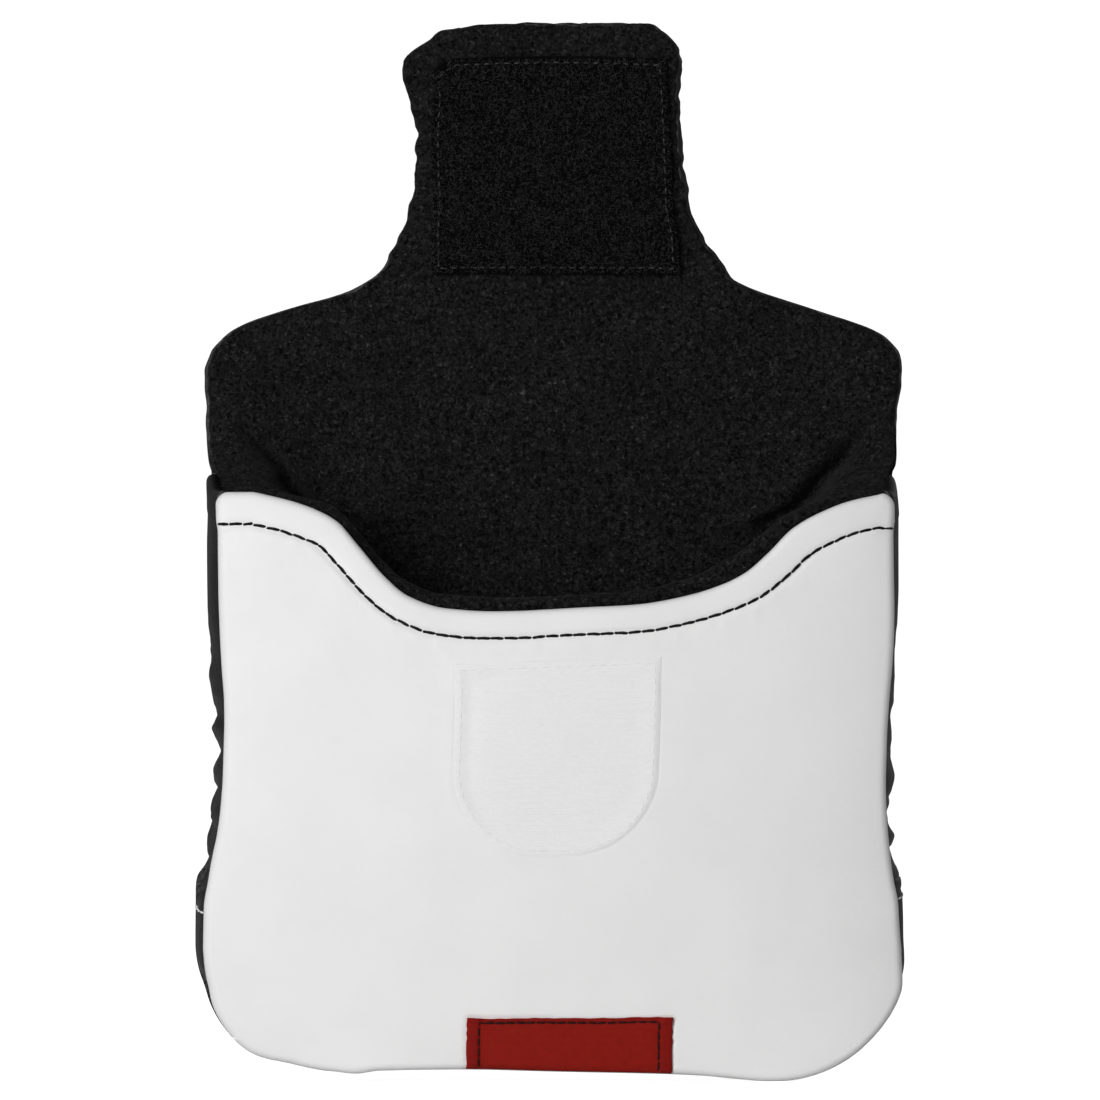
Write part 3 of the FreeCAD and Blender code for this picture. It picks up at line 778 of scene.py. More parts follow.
def wing_span(x, z):
    """Width of a wing beside the mouth."""
    return wing_width(z) * np.where(x > 0, 0.92, 1.0 + 0.12 * ramp(z, 112, 119))


def wing_place(x, z):
    """Place across a wing, from 0 at the back to 1 at its outer edge."""
    width = wing_span(x, z)
    return np.clip((np.abs(x) - flap_half(z) + width) / width, 0, 1)


def wing(x, z):
    """How far the sides come forward beside the mouth, where the lining runs on into the gussets."""
    place = wing_place(x, z)
    step = np.where(x > 0, ramp(place, 0.02, 0.22), ramp(place, 0.04, 0.15))
    return wing_reach(z) * (0.45 * step + 0.55 * place)


def shell_wing(x, z):
    """How far the leather comes forward with the wings, in an even curve."""
    return 0.32 * wing_reach(z) * smooth(wing_place(x, z)) * ramp(z, 101, 117)


def crease(x, z):
    """Depth of the fold where the wings leave the back: a soft roll inside it, then a deep crease."""
    place = np.abs(x) - flap_half(z) + wing_span(x, z)
    deep = ramp(z, 100, 108) * (1 - ramp(z, 117, 127))
    depth = np.where(x > 0, 2.3, 3.6)
    narrow = np.where(x > 0, 2.0, 2.5)
    return deep * (depth * bell(place, 0.2, narrow) - 1.8 * bell(place, -4.6, 3.2))


def shell_inset(z):
    """The leather reaches the outline."""
    return 0 * z


def fleece_inset(z):
    """The lining ends behind the gussets low down, and just short of the edge on the flap."""
    return 2.9 - 1.4 * ramp(z, 96, 104) - 0.9 * ramp(z, 112, 118) - 0.3 * ramp(z, 140, 150)


def shell_faces(x, z, ring):
    """Front and back of the black leather sheet."""
    edge = distance(x, z, ring)
    forward = shell_wing(x, z)
    back = BACK_FACE - 1.1 * np.exp(-edge / 6) - roll(edge, 2.3) + 0.22 * noise(x, z, 26, 31)
    back += 0.10 * noise(x, z, 8, 32) - forward
    front = np.minimum(back - 0.25, SEAM_DEPTH - 0.9 - forward + np.clip(crease(x, z), 0, None))
    turned = bell(edge, 0.9, 0.8) * (x > 0) * ramp(z, 142, 150) * (0.5 + 0.45 * noise(x, z, 1.7, 33))
    return front - turned, back


def fleece_faces(x, z, ring):
    """Front and back of the fleece sheet."""
    edge = distance(x, z, ring)
    forward = wing(x, z)
    lumps = 0.26 * noise(x, z, 1.25, 41) + 0.20 * noise(x, z, 2.9, 42) + 0.35 * noise(x, z, 19, 43)
    level = FLEECE_FACE + 0.5 + 0.5 * np.exp(-edge / 5) + roll(edge, 1.2) - forward
    hollow = 0.5 * bell(z, 151, 5) * ramp(np.abs(x), 10, 40)
    front = level + lumps + crease(x, z) + hollow
    return front, np.maximum(front + 0.3, SEAM_DEPTH + 0.3 - forward)


def flap_piece(name, low, high, inset, faces, ring, material, cut_row):
    """One of the sheets of the back panel and the flap."""
    x, z = flap_grid(low, high, inset)
    front, back = faces(x, z, ring)
    sx, sz = draped(x, z, 0.16 if inset is fleece_inset else 0.0)
    return closed_sheet(name, stack(sx, front, sz), stack(sx, back, sz), material, None, cut_row)


def fold(piece, joint, low, high):
    """Bakes a piece's transform into its mesh; it is not bent across a fold."""
    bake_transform(piece)


FOLD_REACH = 8.0
BACK_BEND = (BACK_FOLD - FOLD_REACH, BACK_FOLD + FOLD_REACH)
FRONT_BEND = (FRONT_FOLD - FOLD_REACH - 1.6, FRONT_FOLD + 7.0)


def flap_layer(kind, foot, top, inset, faces, material):
    """One layer, in two pieces that meet on the stiff part between the folds."""
    ring = flap_ring(foot, inset)
    lower = flap_piece(kind + "_lower", foot, SPLIT_HEIGHT, inset, faces, ring, material, -1)
    upper = flap_piece(kind + "_upper", SPLIT_HEIGHT, top, inset, faces, ring, material, 0)
    fold(lower, "back_fold", *BACK_BEND)
    fold(upper, "front_fold", *FRONT_BEND)
    return lower, upper


def flap():
    """Black leather outside and fleece inside."""
    top = FLAP_TOP + 0.2
    lower, upper = flap_layer("back_leather", 0.3, top, shell_inset, shell_faces, BLACK_LEATHER)
    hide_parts("back_shell", "shoulder_shell", "back_foam", "shoulder_foam")
    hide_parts("tab_shell", "tab_foam")
    lower, upper = flap_layer("back_fleece", 3.0, top - 0.1, fleece_inset, fleece_faces, BLACK_FLEECE)
    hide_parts("back_lining", "shoulder_lining")
    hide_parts("tab_lining")


flap()


# ---- the gussets

# Height and outermost place of each gathered gusset: the elastic's pinches and the bulges between them.
GATHERED = {
    -1: [(30, 66.6), (34.2, 66.3), (36.5, 66.0), (38, 65.15), (39.5, 64.75), (41, 64.8), (43.3, 65.0),
         (44.8, 64.96), (47.1, 64.49), (48.9, 64.1), (50.9, 64.42), (52.4, 64.13), (54, 63.62), (55.4, 63.2),
         (57, 63.71), (58.6, 63.95), (60, 63.62), (61.6, 63.0), (62.4, 62.68), (63.8, 63.02), (65.4, 63.6),
         (66.9, 64.0), (68.4, 63.59), (69.6, 63.3), (71.4, 63.61), (73.7, 64.12), (77.2, 64.48), (80, 64.2),
         (83.6, 64.41), (87.4, 64.79), (91, 65.0), (101, 65.1), (106, 64.98), (112, 65.17)],
    1: [(30, 66.6), (34.2, 66.3), (37, 66.3), (38.8, 66.5), (40.3, 66.0), (41, 65.5), (42.6, 64.9),
        (43.9, 64.6), (44.8, 65.15), (46.2, 65.4), (47.9, 64.85), (49.4, 64.27), (51, 64.08), (52.7, 64.53),
        (53.9, 64.44), (54.7, 64.69), (55.5, 65.03), (57, 65.41), (58.5, 65.27), (60, 64.95), (61.6, 64.73),
        (63.1, 64.96), (65, 65.11), (66.9, 64.95), (68.4, 64.73), (70, 65.02), (72.2, 65.36), (76, 65.5),
        (79.8, 65.52), (83.6, 65.7), (89.3, 66.18), (95, 66.37), (104.5, 66.37), (112, 65.8)]}
GUSSET_FOOT = STRIP_TOP - 3.0
GUSSET_TOP = 111.9
GUSSET_RISE = 3.2
STRIP_HEM = {-1: STRIP_TOP + 2.6, 1: STRIP_TOP + 5.2}


def edge_depth(z, sign):
    """Depth of the front panel's rolled edge at a height on one of its sides."""
    x = sign * panel_half(z)
    return CROWN_FACE + crown(x, z) + EDGE_DROP + PANEL_ROLL + right_droop(x, z)


def gusset(sign, name, *nodes):
    """One gathered side gusset, rolled where it meets the front, the back and its own hem."""
    z = np.linspace(GUSSET_FOOT, GUSSET_TOP, 260)
    z = np.concatenate([z[:-1], GUSSET_TOP - np.array([0.3, 0.15, 0.05, 0.0])])
    zz, ss = np.meshgrid(z, ACROSS_SIDES, indexing="ij")
    lift = GUSSET_RISE * ramp(zz, 98, GUSSET_TOP)
    start, end = edge_depth(zz, sign), SEAM_DEPTH - shell_wing(sign * flap_half(zz + lift), zz + lift)
    y = start + (end - start) * ss
    slant = 1.1 * noise(zz, ss * 16, 9, 60 + sign) * np.sin(2 * np.pi * ss)
    outermost = through(GATHERED[sign])(zz + slant)
    envelope = body_half(zz) + sign * lean(zz)
    gathered = ramp(zz, 37, 41) * (1 - ramp(zz, 80, 92))
    outermost += gathered * (outermost - envelope) * 0.35 * bell(ss, 0.5, 0.28)
    front_edge = panel_half(zz) + sign * lean(zz) - 0.25
    back_edge = envelope - 1.3 - waist(zz)
    seam = front_edge + (back_edge - front_edge) * ss
    bulge = bulging(ss, 3)
    crest = roll(GUSSET_TOP - zz, 1.3) / 1.3
    hem = 0.16 * ramp(zz, GUSSET_TOP - 5.6, GUSSET_TOP - 5.0)
    wrinkle = 0.2 * noise(zz * 1.2, ss * 12, 2.0, 66 + sign) * gathered
    out = seam + (outermost - seam + wrinkle + hem) * bulge - 1.1 * crest
    out -= 1.2 * (1 - ramp(zz, STRIP_TOP - 2, STRIP_HEM[sign] + 0.6))
    inner = out - 1.5 + 0.35 * crest
    height = zz + lift * ramp(ss, 0.08, 0.75)
    piece = closed_sheet(name, stack(sign * out, y, height), stack(sign * inner, y, height), BLACK_LEATHER)
    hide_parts(*nodes)


gusset(-1, "side_gusset_left", "gusset_left")
gusset(1, "side_gusset_right", "gusset_right")


def strip_path(inset, tops, step):
    """Places and outward directions along the strip, from its left top round the bottom to its right top."""
    centre = HIP_HALF - CORNER_ROUND

    def side(top):
        z = np.linspace(top, CORNER_ROUND, max(3, int((top - CORNER_ROUND) / step)))
        return np.stack([-body_half(z) + inset, z], -1)

    left = side(tops[-1])
    low_left = arc((-centre, CORNER_ROUND), CORNER_ROUND - inset, 180, 270, 40)[1:]
    x = np.linspace(-centre, centre, int(2 * centre / step))[1:]
    low = np.stack([x, np.full(len(x), float(inset))], -1)
    low_right = arc((centre, CORNER_ROUND), CORNER_ROUND - inset, 270, 360, 40)[1:]
    right = (side(tops[1]) * (-1, 1))[::-1][1:]
    line = np.concatenate([left, low_left, low, low_right, right])
    along_it = np.gradient(line, axis=0)
    along_it /= np.linalg.norm(along_it, axis=1)[:, None]
    return line, np.stack([along_it[:, 1], -along_it[:, 0]], -1)


def band(name, line, outward, share, start, end, out, inner, material, nodes, sink=0.0):
    """A sheet that runs round the pouch: its two faces stand off a path by out and inner."""
    ss = share[None]
    y = start[:, None] + (end - start)[:, None] * ss
    faces = []
    for off in (out, inner):
        x = line[:, :1] + outward[:, :1] * off
        z = line[:, 1:] + outward[:, 1:] * off - sink
        sx, sz = settled(x, z)
        faces.append(stack(sx, y, np.maximum(sz, 0.0)))
    piece = closed_sheet(name, faces[0], faces[1], material)
    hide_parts(*nodes)
    return piece


def bottom_strip():
    """The black leather strip round the bottom and its corners, hemmed over the side gussets."""
    line, outward = strip_path(0.0, STRIP_HEM, 0.7)
    share = ACROSS_SIDES
    z = line[:, 1]
    reach = np.concatenate([[0], np.cumsum(np.linalg.norm(np.diff(line, axis=0), axis=1))])
    end_gap = np.minimum(reach, reach[-1] - reach)[:, None]
    tuck = (0.85 * (1 - ramp(z, 15, 23)) + 0.4 * (1 - ramp(z, 8, 16)))[:, None]
    waves = 0.15 * noise(reach[:, None], share[None] * 30, 7, 81)
    out = -1.5 + 1.5 * bulging(share[None], 6) - tuck - roll(end_gap, 1.2) / 1.2 + waves
    out = np.minimum(out, 0.15) - 0.25 * bell(end_gap, 3.2, 0.7)
    start = edge_depth(np.maximum(z, 3.0), np.sign(line[:, 0]))
    sink = 2.0 * ramp(z, 29, 37)[:, None] * ramp(share, 0.05, 0.5)[None] * (line[:, :1] < 0)
    piece = band("bottom_strip", line, outward, share, start, np.full(len(line), SEAM_DEPTH), out, out - 1.6,
                 BLACK_LEATHER, ["bottom_gusset"], sink)


def pocket_fleece():
    """The fleece lining of the sides and the bottom."""
    line, outward = strip_path(2.4, {-1: 108.0, 1: 108.0}, 1.1)
    share = np.linspace(0, 1, 34)
    z = line[:, 1]
    start = CROWN_FACE + crown(line[:, 0], z) + 6.4
    fluff = 0.3 * noise(np.arange(len(line))[:, None] * 1.1, share[None] * 24, 1.6, 91)
    inner = -2.2 + fluff + 0.8 * np.abs(2 * share[None] - 1) ** 4
    end = np.full(len(line), SEAM_DEPTH - 1.5)
    nodes = ["gusset_lining_left", "gusset_lining_right", "bottom_lining"]
    piece = band("pocket_fleece", line, outward, share, start, end, 0 * inner, inner, BLACK_FLEECE, nodes)


bottom_strip()
pocket_fleece()


# ---- tapes and label


def hook_face(x, z):
    """Depth of the hook tape's face: a low ridge inside its edge, and faint rows of worn hooks."""
    inside = -hook_gap(x, z)
    plain = 0.35 + 0.95 * ramp(x, -9, 15) * (1 - 0.7 * ramp(z, HOOK_HIGH[2] - 4, HOOK_HIGH[2] - 1))
    proud = plain * (0.17 * ramp(inside, 0, 0.9) - 0.10 * ramp(inside, 1.5, 4.5))
    proud += 0.05 * x / HOOK_HALF - 0.04 - 0.13 * bell(inside, 2.8, 1.5) * (1 - ramp(x, -13, -6))
    proud += tape_rim(x, inside) + 0.11 * (1 - ramp(x, -12, 8))
    ribs = np.sin(2 * np.pi * z / 1.15) * ramp(noise(x / 2, z, 3.4, 101), -0.1, 0.7)
    hooks = noise(x / 2.2, z, 0.5, 102)
    return panel_base(x, z) - proud - (0.014 * ribs + 0.010 * hooks) * ramp(inside, 1.6, 2.6)


def hook_tape():
    """White hook tape sewn onto the front, pressed into the padding, with rows of worn hooks."""
    top, half = HOOK_TOP, HOOK_HALF
    centre_x, centre_z = half - HOOK_ROUND, HOOK_LOW[2] + HOOK_ROUND
    corners = [(-half, top - HOOK_TILT * half)], [(half, top + HOOK_TILT * half)]
    left = np.concatenate([arc((-centre_x, centre_z), HOOK_ROUND, 225, 180, 16), corners[0]])
    right = np.concatenate([arc((centre_x, centre_z), HOOK_ROUND, -45, 0, 16), corners[1]])
    low = np.concatenate([arc((-centre_x, centre_z), HOOK_ROUND, 225, 270, 16),
                          arc((centre_x, centre_z), HOOK_ROUND, 270, 315, 16)])
    high = np.array([left[-1], right[-1]])
    x, z = patch(low, high, left, right, shares(2 * half, 0.3), shares(HOOK_HIGH[2] - HOOK_LOW[2], 0.22))
    y = hook_face(x, z)
    sx, sz = settled(x, z)
    piece = closed_sheet("hook_tape", stack(sx, y, sz), stack(sx, y + 1.3, sz), HOOK_TAPE)
    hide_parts("hook_patch")


def label_face(x, z, off=0.0):
    """Depth of the label's face, which follows the panel's rolled edge."""
    return front_face(x, z) - 0.42 - off + 0.05 * noise(x, z, 3, 111)


def label():
    """A bare red woven label with folded ends, caught in the bottom seam."""
    left, right, top = LABEL_LEFT, LABEL_RIGHT, LABEL_HIGH[2]
    x = np.linspace(left, right, 120)[None] + np.zeros((50, 1))
    share = np.linspace(0, 1, 50)[:, None]
    rise = 0.3 * bell(x, right - 4, 6) - 0.25 * bell(x, left + 5, 5) + 0.08 * noise(x, 0 * x, 1.3, 113)
    z = 0.15 + (top + rise - 0.15) * share
    x = x + 0.12 * noise(z, 0 * z, 1.1, 112) * bell(np.abs(x - (left + right) / 2), (right - left) / 2, 1.0)
    end = np.minimum(x - left, right - x)
    fold_ends = 0.38 * (1 - ramp(end, 2.2, 2.7)) + 0.22 * ramp(z, top - 1.5, top - 1.1)
    soft = 0.35 * roll(np.minimum(end, top - z), 0.5) / 0.5
    thread_dip = 0.16 * np.maximum(bell(end, LABEL_FOLD, 0.25), bell(top - z, 1.1, 0.25) * (end > 2.2))
    y = label_face(x, z, fold_ends) + soft + thread_dip
    sx, sz = settled(x, z)
    back = np.maximum(front_face(x, z) + 0.5, y + 0.2)
    piece = closed_sheet("red_label", stack(sx, y, sz), stack(sx, back, sz), RED_LABEL)
    piece.data.materials.append(RED_FOLD)
    columns = x.shape[1]
    quads = (x.shape[0] - 1) * (columns - 1)
    marks = np.zeros(len(piece.data.polygons), np.int32)
    middle_x = (x[:-1, :-1] + x[1:, 1:]).ravel() / 2
    middle_z = (z + 0 * x)[:-1, :-1].ravel()
    marks[:quads] = (np.minimum(middle_x - left, right - middle_x) < LABEL_FOLD) | (middle_z > top - 1.1)
    piece.data.polygons.foreach_set("material_index", marks)
    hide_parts("woven_label")


def loop_borders():
    """The loop tape's outline, with a cut-off top left corner and a right side that strays outwards."""
    left, right, low, high = -22.0, 23.3, LOOP_LOW[2], LOOP_HIGH[2]
    drift = through([(low, 1.9), (158, 1.8), (166, 0.6), (178, 0.2), (high, -0.6)])
    z = np.linspace(low, high, 60)
    right_line = np.stack([right + drift(z), z], -1)
    left_line = np.stack([left + 0.25 * noise(z, 0 * z, 4, 121), z], -1)
    left_line[-4:, 0] += np.array([0.5, 1.2, 2.2, 3.4])
    x = np.linspace(0, 1, 60)[:, None]
    low_line = left_line[:1] * (1 - x) + right_line[:1] * x
    high_line = left_line[-1:] * (1 - x) + right_line[-1:] * x + np.array([[0, 0.5]]) * np.sin(np.pi * x)
    return low_line, high_line, left_line, right_line


LOOP_BORDERS = loop_borders()
LOOP_RING = ring_of(LOOP_BORDERS)


def loop_face(x, z):
    """Depth of the loop tape's ground."""
    edge = distance(x, z, LOOP_RING)
    lumps = 0.16 * noise(x, z, 1.5, 122) + 0.2 * noise(x, z, 12, 123)
    return FLEECE_FACE - 0.75 + 0.55 * roll(edge, 0.9) / 0.9 + lumps


def loop_tape():
    """The ground of the loop tape, sewn to the tab."""
    x, z = patch(*LOOP_BORDERS, shares(46, 0.5), shares(41, 0.5))
    y = loop_face(x, z)
    piece = closed_sheet("loop_tape", stack(x, y, z), stack(x, FLEECE_FACE + 0.9, z), LOOP_GROUND, None)
    fold(piece, "front_fold", *FRONT_BEND)
    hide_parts("loop_patch")
    return piece


def fibres(name, roots, material, height, reach, radius, seed):
    """Many tiny fibres, each a three-sided tube along an arch."""
    rng = np.random.default_rng(seed)
    count, steps = len(roots), 5
    turn = rng.uniform(0, 2 * np.pi, count)
    run = rng.uniform(0.6, 1.2, count) * reach
    tall = rng.uniform(0.45, 1.0, count) * height
    side = rng.uniform(-0.4, 0.4, count) * reach
    t = np.linspace(0, 1, steps)
    rise = np.sin(np.pi * t)[None] * tall[:, None]
    forward = (t[None] - 0.5) * run[:, None]
    sway = np.sin(np.pi * t)[None] * side[:, None]
    x = roots[:, :1] + np.cos(turn)[:, None] * forward - np.sin(turn)[:, None] * sway
    z = roots[:, 2:] + np.sin(turn)[:, None] * forward + np.cos(turn)[:, None] * sway
    y = roots[:, 1:2] - rise
    line = np.stack([x, y, z], -1)
    tangent = np.gradient(line, axis=1)
    tangent /= np.linalg.norm(tangent, axis=2)[..., None]
    across = np.cross(tangent, np.stack([-np.sin(turn), 0 * turn, np.cos(turn)], -1)[:, None])
    across /= np.maximum(np.linalg.norm(across, axis=2), 1e-9)[..., None]
    other = np.cross(tangent, across)
    wide = radius * rng.uniform(0.7, 1.2, count)[:, None, None]
    angles = [2 * math.pi * k / 3 for k in range(3)]
    points = np.stack([line + wide * (math.cos(a) * across + math.sin(a) * other) for a in angles], 2)
    index = np.arange(count * steps * 3).reshape(count, steps, 3)
    following = np.roll(index, -1, axis=2)
    quads = np.stack([index[:, :-1], following[:, :-1], following[:, 1:], index[:, 1:]], -1).reshape(-1, 4)
    caps = np.concatenate([index[:, 0, ::-1], index[:, -1]])
    return build(name, points, [quads, caps], material, None)


LOOP_COUNT = 12000


def loop_pile():
    """The tape's pile of fine loops."""
    rng = np.random.default_rng(131)
    left, right = LOOP_BORDERS[2:]
    u, v = rng.uniform(0.0, 1.0, LOOP_COUNT), rng.uniform(0.0, 1.0, LOOP_COUNT)
    z = LOOP_LOW[2] + 0.3 + v * (LOOP_HIGH[2] - LOOP_LOW[2] - 0.5)
    x = (left[0, 0] - 0.1) * (1 - u) + (np.interp(z, right[:, 1], right[:, 0]) - 0.2) * u
    keep = ~((z > LOOP_HIGH[2] - 2.6) & (x < left[0, 0] + 3.0))
    x, z = x[keep], z[keep]
    roots = np.stack([x, loop_face(x, z) + 0.12, z], -1)
    piece = fibres("loop_pile", roots, LOOP_PILE, height=0.75, reach=0.95, radius=0.038, seed=132)
    fold(piece, "front_fold", *FRONT_BEND)
    return piece


hook_tape()
label()
loop_tape()
loop_pile()


# ---- stitching


def stitches(name, node, rows, material, pitch, length, radius, proud, seed, dip=0.34, body="pouch"):
    """Rows of separate stitches of two-ply thread, each dipping into the cloth at its ends.

    A row is a line of points and the directions away from the cloth at them.
    """
    rng = random.Random(seed)
    sides, rings = 10, 11
    t = np.linspace(0, 1, rings)
    angle = np.linspace(0, 2 * np.pi, sides, endpoint=False)
    plies = 1 + 0.14 * np.cos(2 * angle[None] - 2 * np.pi * 1.6 * t[:, None])
    thick = radius * (1 - 0.45 * np.abs(2 * t - 1) ** 6)
    thick[0] = thick[-1] = radius * 0.15
    points = []
    for line, outward in rows:
        total = length_of(line)
        count = max(2, round(total / pitch))
        for k in range(count):
            middle = (k + 0.5) / count
            a = middle - length / 2 / total * rng.uniform(0.94, 1.06)
            b = middle + length / 2 / total * rng.uniform(0.94, 1.06)
            share = np.linspace(max(a, 0), min(b, 1), rings)
            core, out = along(line, share), along(outward, share)
            out /= np.linalg.norm(out, axis=1)[:, None]
            run = core[-1] - core[0]
            aside = np.cross(run / np.linalg.norm(run), out)
            drift = rng.uniform(-0.12, 0.12) * (t - 0.5) * 2
            core = core + out * (proud - dip * np.abs(2 * t - 1) ** 4)[:, None] + aside * drift[:, None]
            ring = np.cos(angle)[:, None] * aside[:, None] + np.sin(angle)[:, None] * out[:, None]
            points.append(core[:, None] + (thick[:, None] * plies)[..., None] * ring)
    starts = np.arange(len(points)) * sides * rings
    quads = np.concatenate([grid_quads(rings, sides, start, ring=True) for start in starts])[:, ::-1]
    first = starts[:, None] + np.arange(sides)[None]
    last = starts[:, None] + sides * (rings - 1) + np.arange(sides)[None, ::-1]
    points = np.concatenate([p.reshape(-1, 3) for p in points])
    piece = build(name, points, [quads, first, last], material, body)
    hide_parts(node)
    return piece


def row_of(x, y, z):
    """A row of stitches that faces the front."""
    return stack(x, y, z), stack(0 * x, 0 * x - 1.0, 0 * x)


def pouch_row(x, y, z):
    """A row of stitches on the front of the soft pouch."""
    sx, sz = settled(x, z)
    return row_of(sx, y, sz)


def inward(line, gap):
    """A line moved sideways by a gap, to its right as it runs."""
    run = np.gradient(line, axis=0)
    run /= np.linalg.norm(run, axis=1)[:, None]
    return line + gap * np.stack([run[:, 1], -run[:, 0]], -1)


def mouth_seam():
    """Black topstitching along the mouth's hem."""
    x = np.linspace(-60.0, 60.0, 240)
    line = inward(np.stack([x, mouth_height(x)], -1), hem_width(x)[:, None])
    end = float(panel_half(np.array(line[0, 1]))) - 0.15
    line = np.concatenate([[(-end, line[0, 1])], line, [(end, line[-1, 1] - 0.2)]])
    line = along(line, np.linspace(0, 1, 500))
    line[:, 1] += 0.10 * noise(line[:, 0], 0 * line[:, 0], 6, 141)
    x, z = line.T
    row = pouch_row(x, front_face(x, z) + 0.12, z)
    stitches("mouth_topstitching", "mouth_stitching", [row], BLACK_THREAD,
             pitch=2.6, length=2.85, radius=0.31, proud=0.13, seed=7, dip=0.16)


def hook_seam():
    """White thread round the hook tape."""
    inset = 1.2
    half, low = HOOK_HALF - inset, HOOK_LOW[2] + inset
    turn = HOOK_ROUND - inset
    top = HOOK_TOP - inset
    start = [(half, top + HOOK_TILT * half)]
    line = np.concatenate([start, arc((half - turn, low + turn), turn, 0, -90, 24),
                           arc((turn - half, low + turn), turn, 270, 180, 24),
                           [(-half, top - HOOK_TILT * half)], start])
    x, z = along(line, np.linspace(0, 1, 500)).T
    row = pouch_row(x, hook_face(x, z), z)
    stitches("hook_topstitching", "hook_patch_stitching", [row], WHITE_THREAD,
             pitch=2.2, length=1.5, radius=0.13, proud=-0.03, seed=8, dip=0.14)


def label_seam():
    """Dark red thread up both ends of the label and along its top."""
    left, right, top = LABEL_LEFT + LABEL_FOLD, LABEL_RIGHT - 2.6, LABEL_HIGH[2] - 1.05
    line = np.array([(left, 0.6), (left, top), (right, top), (right, 0.6)])
    x, z = along(line, np.linspace(0, 1, 260)).T
    z = z + (0.3 * bell(x, right - 2, 6) - 0.25 * bell(x, left + 3, 5)) * ramp(z, top - 1, top)
    row = pouch_row(x, label_face(x, z, 0.1), z)
    stitches("label_topstitching", "label_stitching", [row], DARK_RED_THREAD,
             pitch=1.9, length=1.95, radius=0.21, proud=0.06, seed=9, dip=0.16)


def loop_seam():
    """Black thread round the loop tape."""
    ring = along(LOOP_RING, np.linspace(0, 1, 500))
    centre = ring.mean(axis=0)
    away = ring - centre
    ring = centre + away * (1 - 1.3 / np.maximum(np.abs(away).max(axis=1), 1))[:, None]
    x, z = ring.T
    row = row_of(x, loop_face(x, z), z)
    piece = stitches("loop_topstitching", "loop_patch_stitching", [row], LOOP_THREAD,
                     pitch=1.9, length=1.2, radius=0.12, proud=0.6, seed=10, body=None)
    fold(piece, "front_fold", *FRONT_BEND)


def joint_seam():
    """White thread across both ends of the bottom strip, where it overlaps the gussets."""
    share = np.linspace(0.02, 0.98, 120)
    rows = []
    for sign in (-1, 1):
        height = STRIP_HEM[sign] - 3.9
        start = edge_depth(np.array(height), sign)
        y = start + (SEAM_DEPTH - start) * share
        z = height - 0.9 * (1 - ramp(share, 0, 0.35))
        bulge = bulging(share, 6)
        x = sign * (body_half(z) - 1.5 + 1.5 * bulge) + lean(z)
        away = stack(sign * (0.4 + bulge), np.sign(share - 0.5) * (1.2 - bulge), 0 * x)
        rows.append((stack(x, y, z), away))
    stitches("joint_topstitching", "gusset_joint_stitching", rows, WHITE_THREAD,
             pitch=2.2, length=1.7, radius=0.22, proud=0.1, seed=12)


mouth_seam()
hook_seam()
label_seam()
loop_seam()
joint_seam()

for side in ("left", "right"):
    elastic = frame["nodes"]["gusset_elastic_" + side]
    elastic.data.materials.clear()
    elastic.data.materials.append(ELASTIC)


# ---- camera, light and floor

VIEW_DISTANCE = 4000.0
VIEW_AZIMUTH = -2.0
PIXEL = 0.19
PHOTO_WIDTH = 1100 * PIXEL
PHOTO_MIDDLE = (1080 - 550) * PIXEL
SENSOR = 36.0
FLOOR_RADIUS = 9000.0
FLOOR_SIDES = 96


def camera():
    """A long lens at the photograph's angle."""
    data = bpy.data.cameras.new("camera")
    data.sensor_width = SENSOR
    data.lens = SENSOR * VIEW_DISTANCE / PHOTO_WIDTH
    data.clip_start, data.clip_end = 0.1, 50
    eye = bpy.data.objects.new("camera", data)
    bpy.context.scene.collection.objects.link(eye)
    turn = math.radians(VIEW_AZIMUTH)
    away = VIEW_DISTANCE * MM
    eye.location = (away * math.sin(turn), -away * math.cos(turn), PHOTO_MIDDLE * MM)
    eye.rotation_euler = (math.radians(90), 0, turn)
    bpy.context.scene.camera = eye


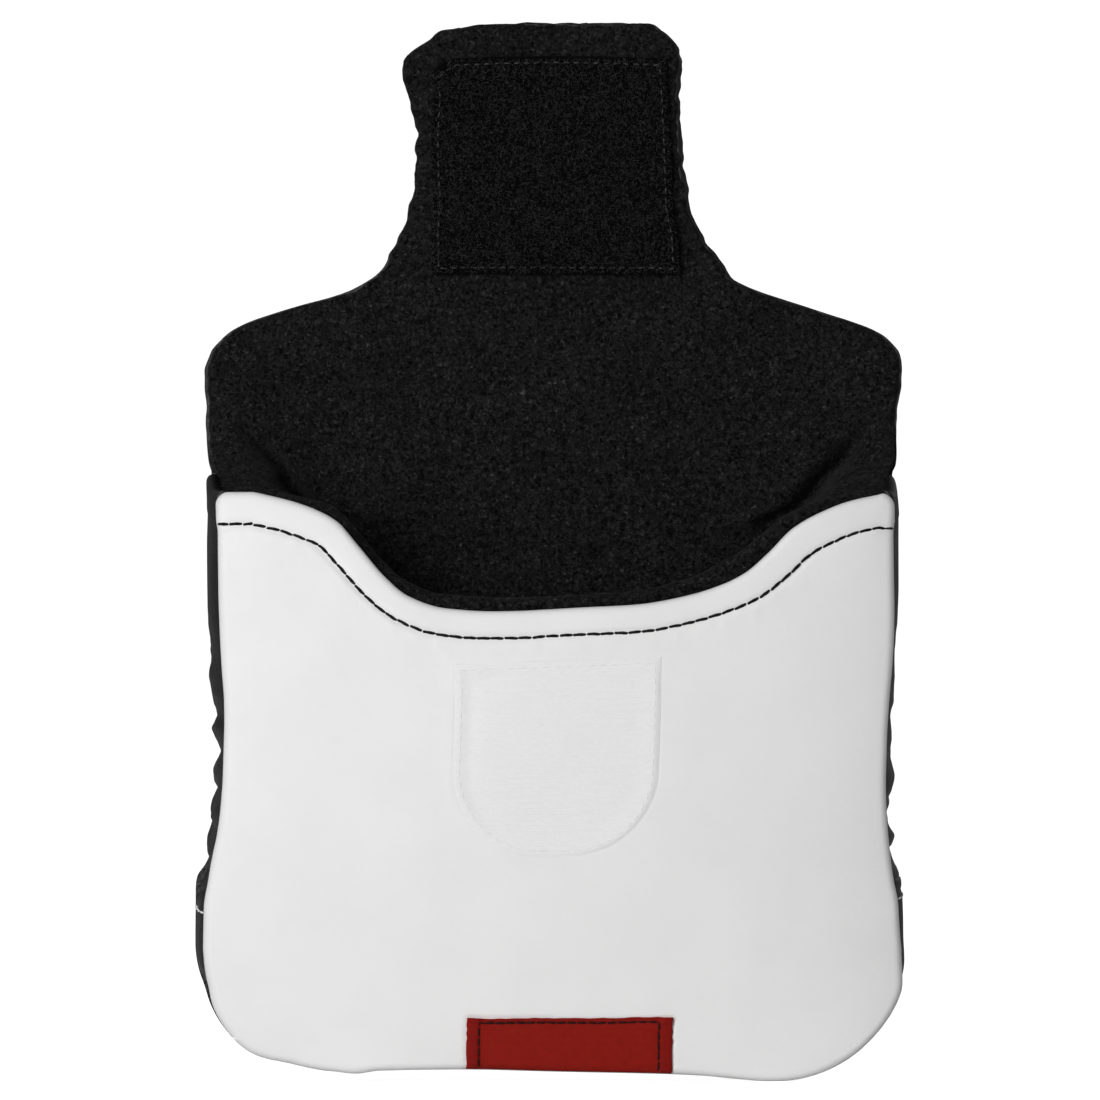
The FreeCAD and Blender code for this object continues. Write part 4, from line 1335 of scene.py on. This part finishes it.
def softbox(name, place, target, size, power):
    """A square area light that faces a target."""
    data = bpy.data.lights.new(name, "AREA")
    data.size, data.energy = size, power
    lamp = bpy.data.objects.new(name, data)
    bpy.context.scene.collection.objects.link(lamp)
    place = np.array(place, float)
    lamp.location = place
    gaze = np.array(target, float) - place
    tilt = math.atan2(math.hypot(gaze[0], gaze[1]), -gaze[2])
    lamp.rotation_euler = (tilt, 0, math.atan2(-gaze[0], gaze[1]))


def floor():
    """A plain pale floor."""
    angle = np.linspace(0, 2 * np.pi, FLOOR_SIDES, endpoint=False)
    ring = FLOOR_RADIUS * np.stack([np.cos(angle), np.sin(angle), 0 * angle], -1) - (0, 0, 0.05)
    s = Shader("pale_floor")
    seen = s.nodes.new("ShaderNodeLightPath").outputs["Is Camera Ray"]
    material = s.finish(base_color=grey(0.80), roughness=0.9, specular_ior_level=0.1,
                        emission_color=grey(1.0), emission_strength=s.math("MULTIPLY", seen, 0.97))
    build("floor", ring, [np.arange(FLOOR_SIDES)[None]], material, None)


def studio():
    """Soft light from the upper left, a weak fill and a white surround."""
    world = bpy.data.worlds.new("studio")
    bpy.context.scene.world = world
    world.use_nodes = True
    nodes, links = world.node_tree.nodes, world.node_tree.links
    nodes.clear()
    ray = nodes.new("ShaderNodeLightPath")
    pick, output = nodes.new("ShaderNodeMixShader"), nodes.new("ShaderNodeOutputWorld")
    links.new(ray.outputs["Is Camera Ray"], pick.inputs[0])
    for socket, strength in ((1, 0.16), (2, 1.05)):
        background = nodes.new("ShaderNodeBackground")
        background.inputs["Color"].default_value = (1, 1, 1, 1)
        background.inputs["Strength"].default_value = strength
        links.new(background.outputs[0], pick.inputs[socket])
    links.new(pick.outputs[0], output.inputs["Surface"])
    middle = (0, 0, 0.1)
    softbox("key", (-0.8, -1.5, 0.45), middle, size=0.9, power=24)
    softbox("fill", (1.6, -1.4, 0.5), middle, size=1.2, power=1.5)
    softbox("top", (0.1, -0.2, 1.9), middle, size=1.0, power=1.2)
    softbox("rear", (1.5, 1.3, 1.0), middle, size=1.0, power=3)
    bpy.context.scene.view_settings.view_transform = "Standard"


camera()
floor()
studio()
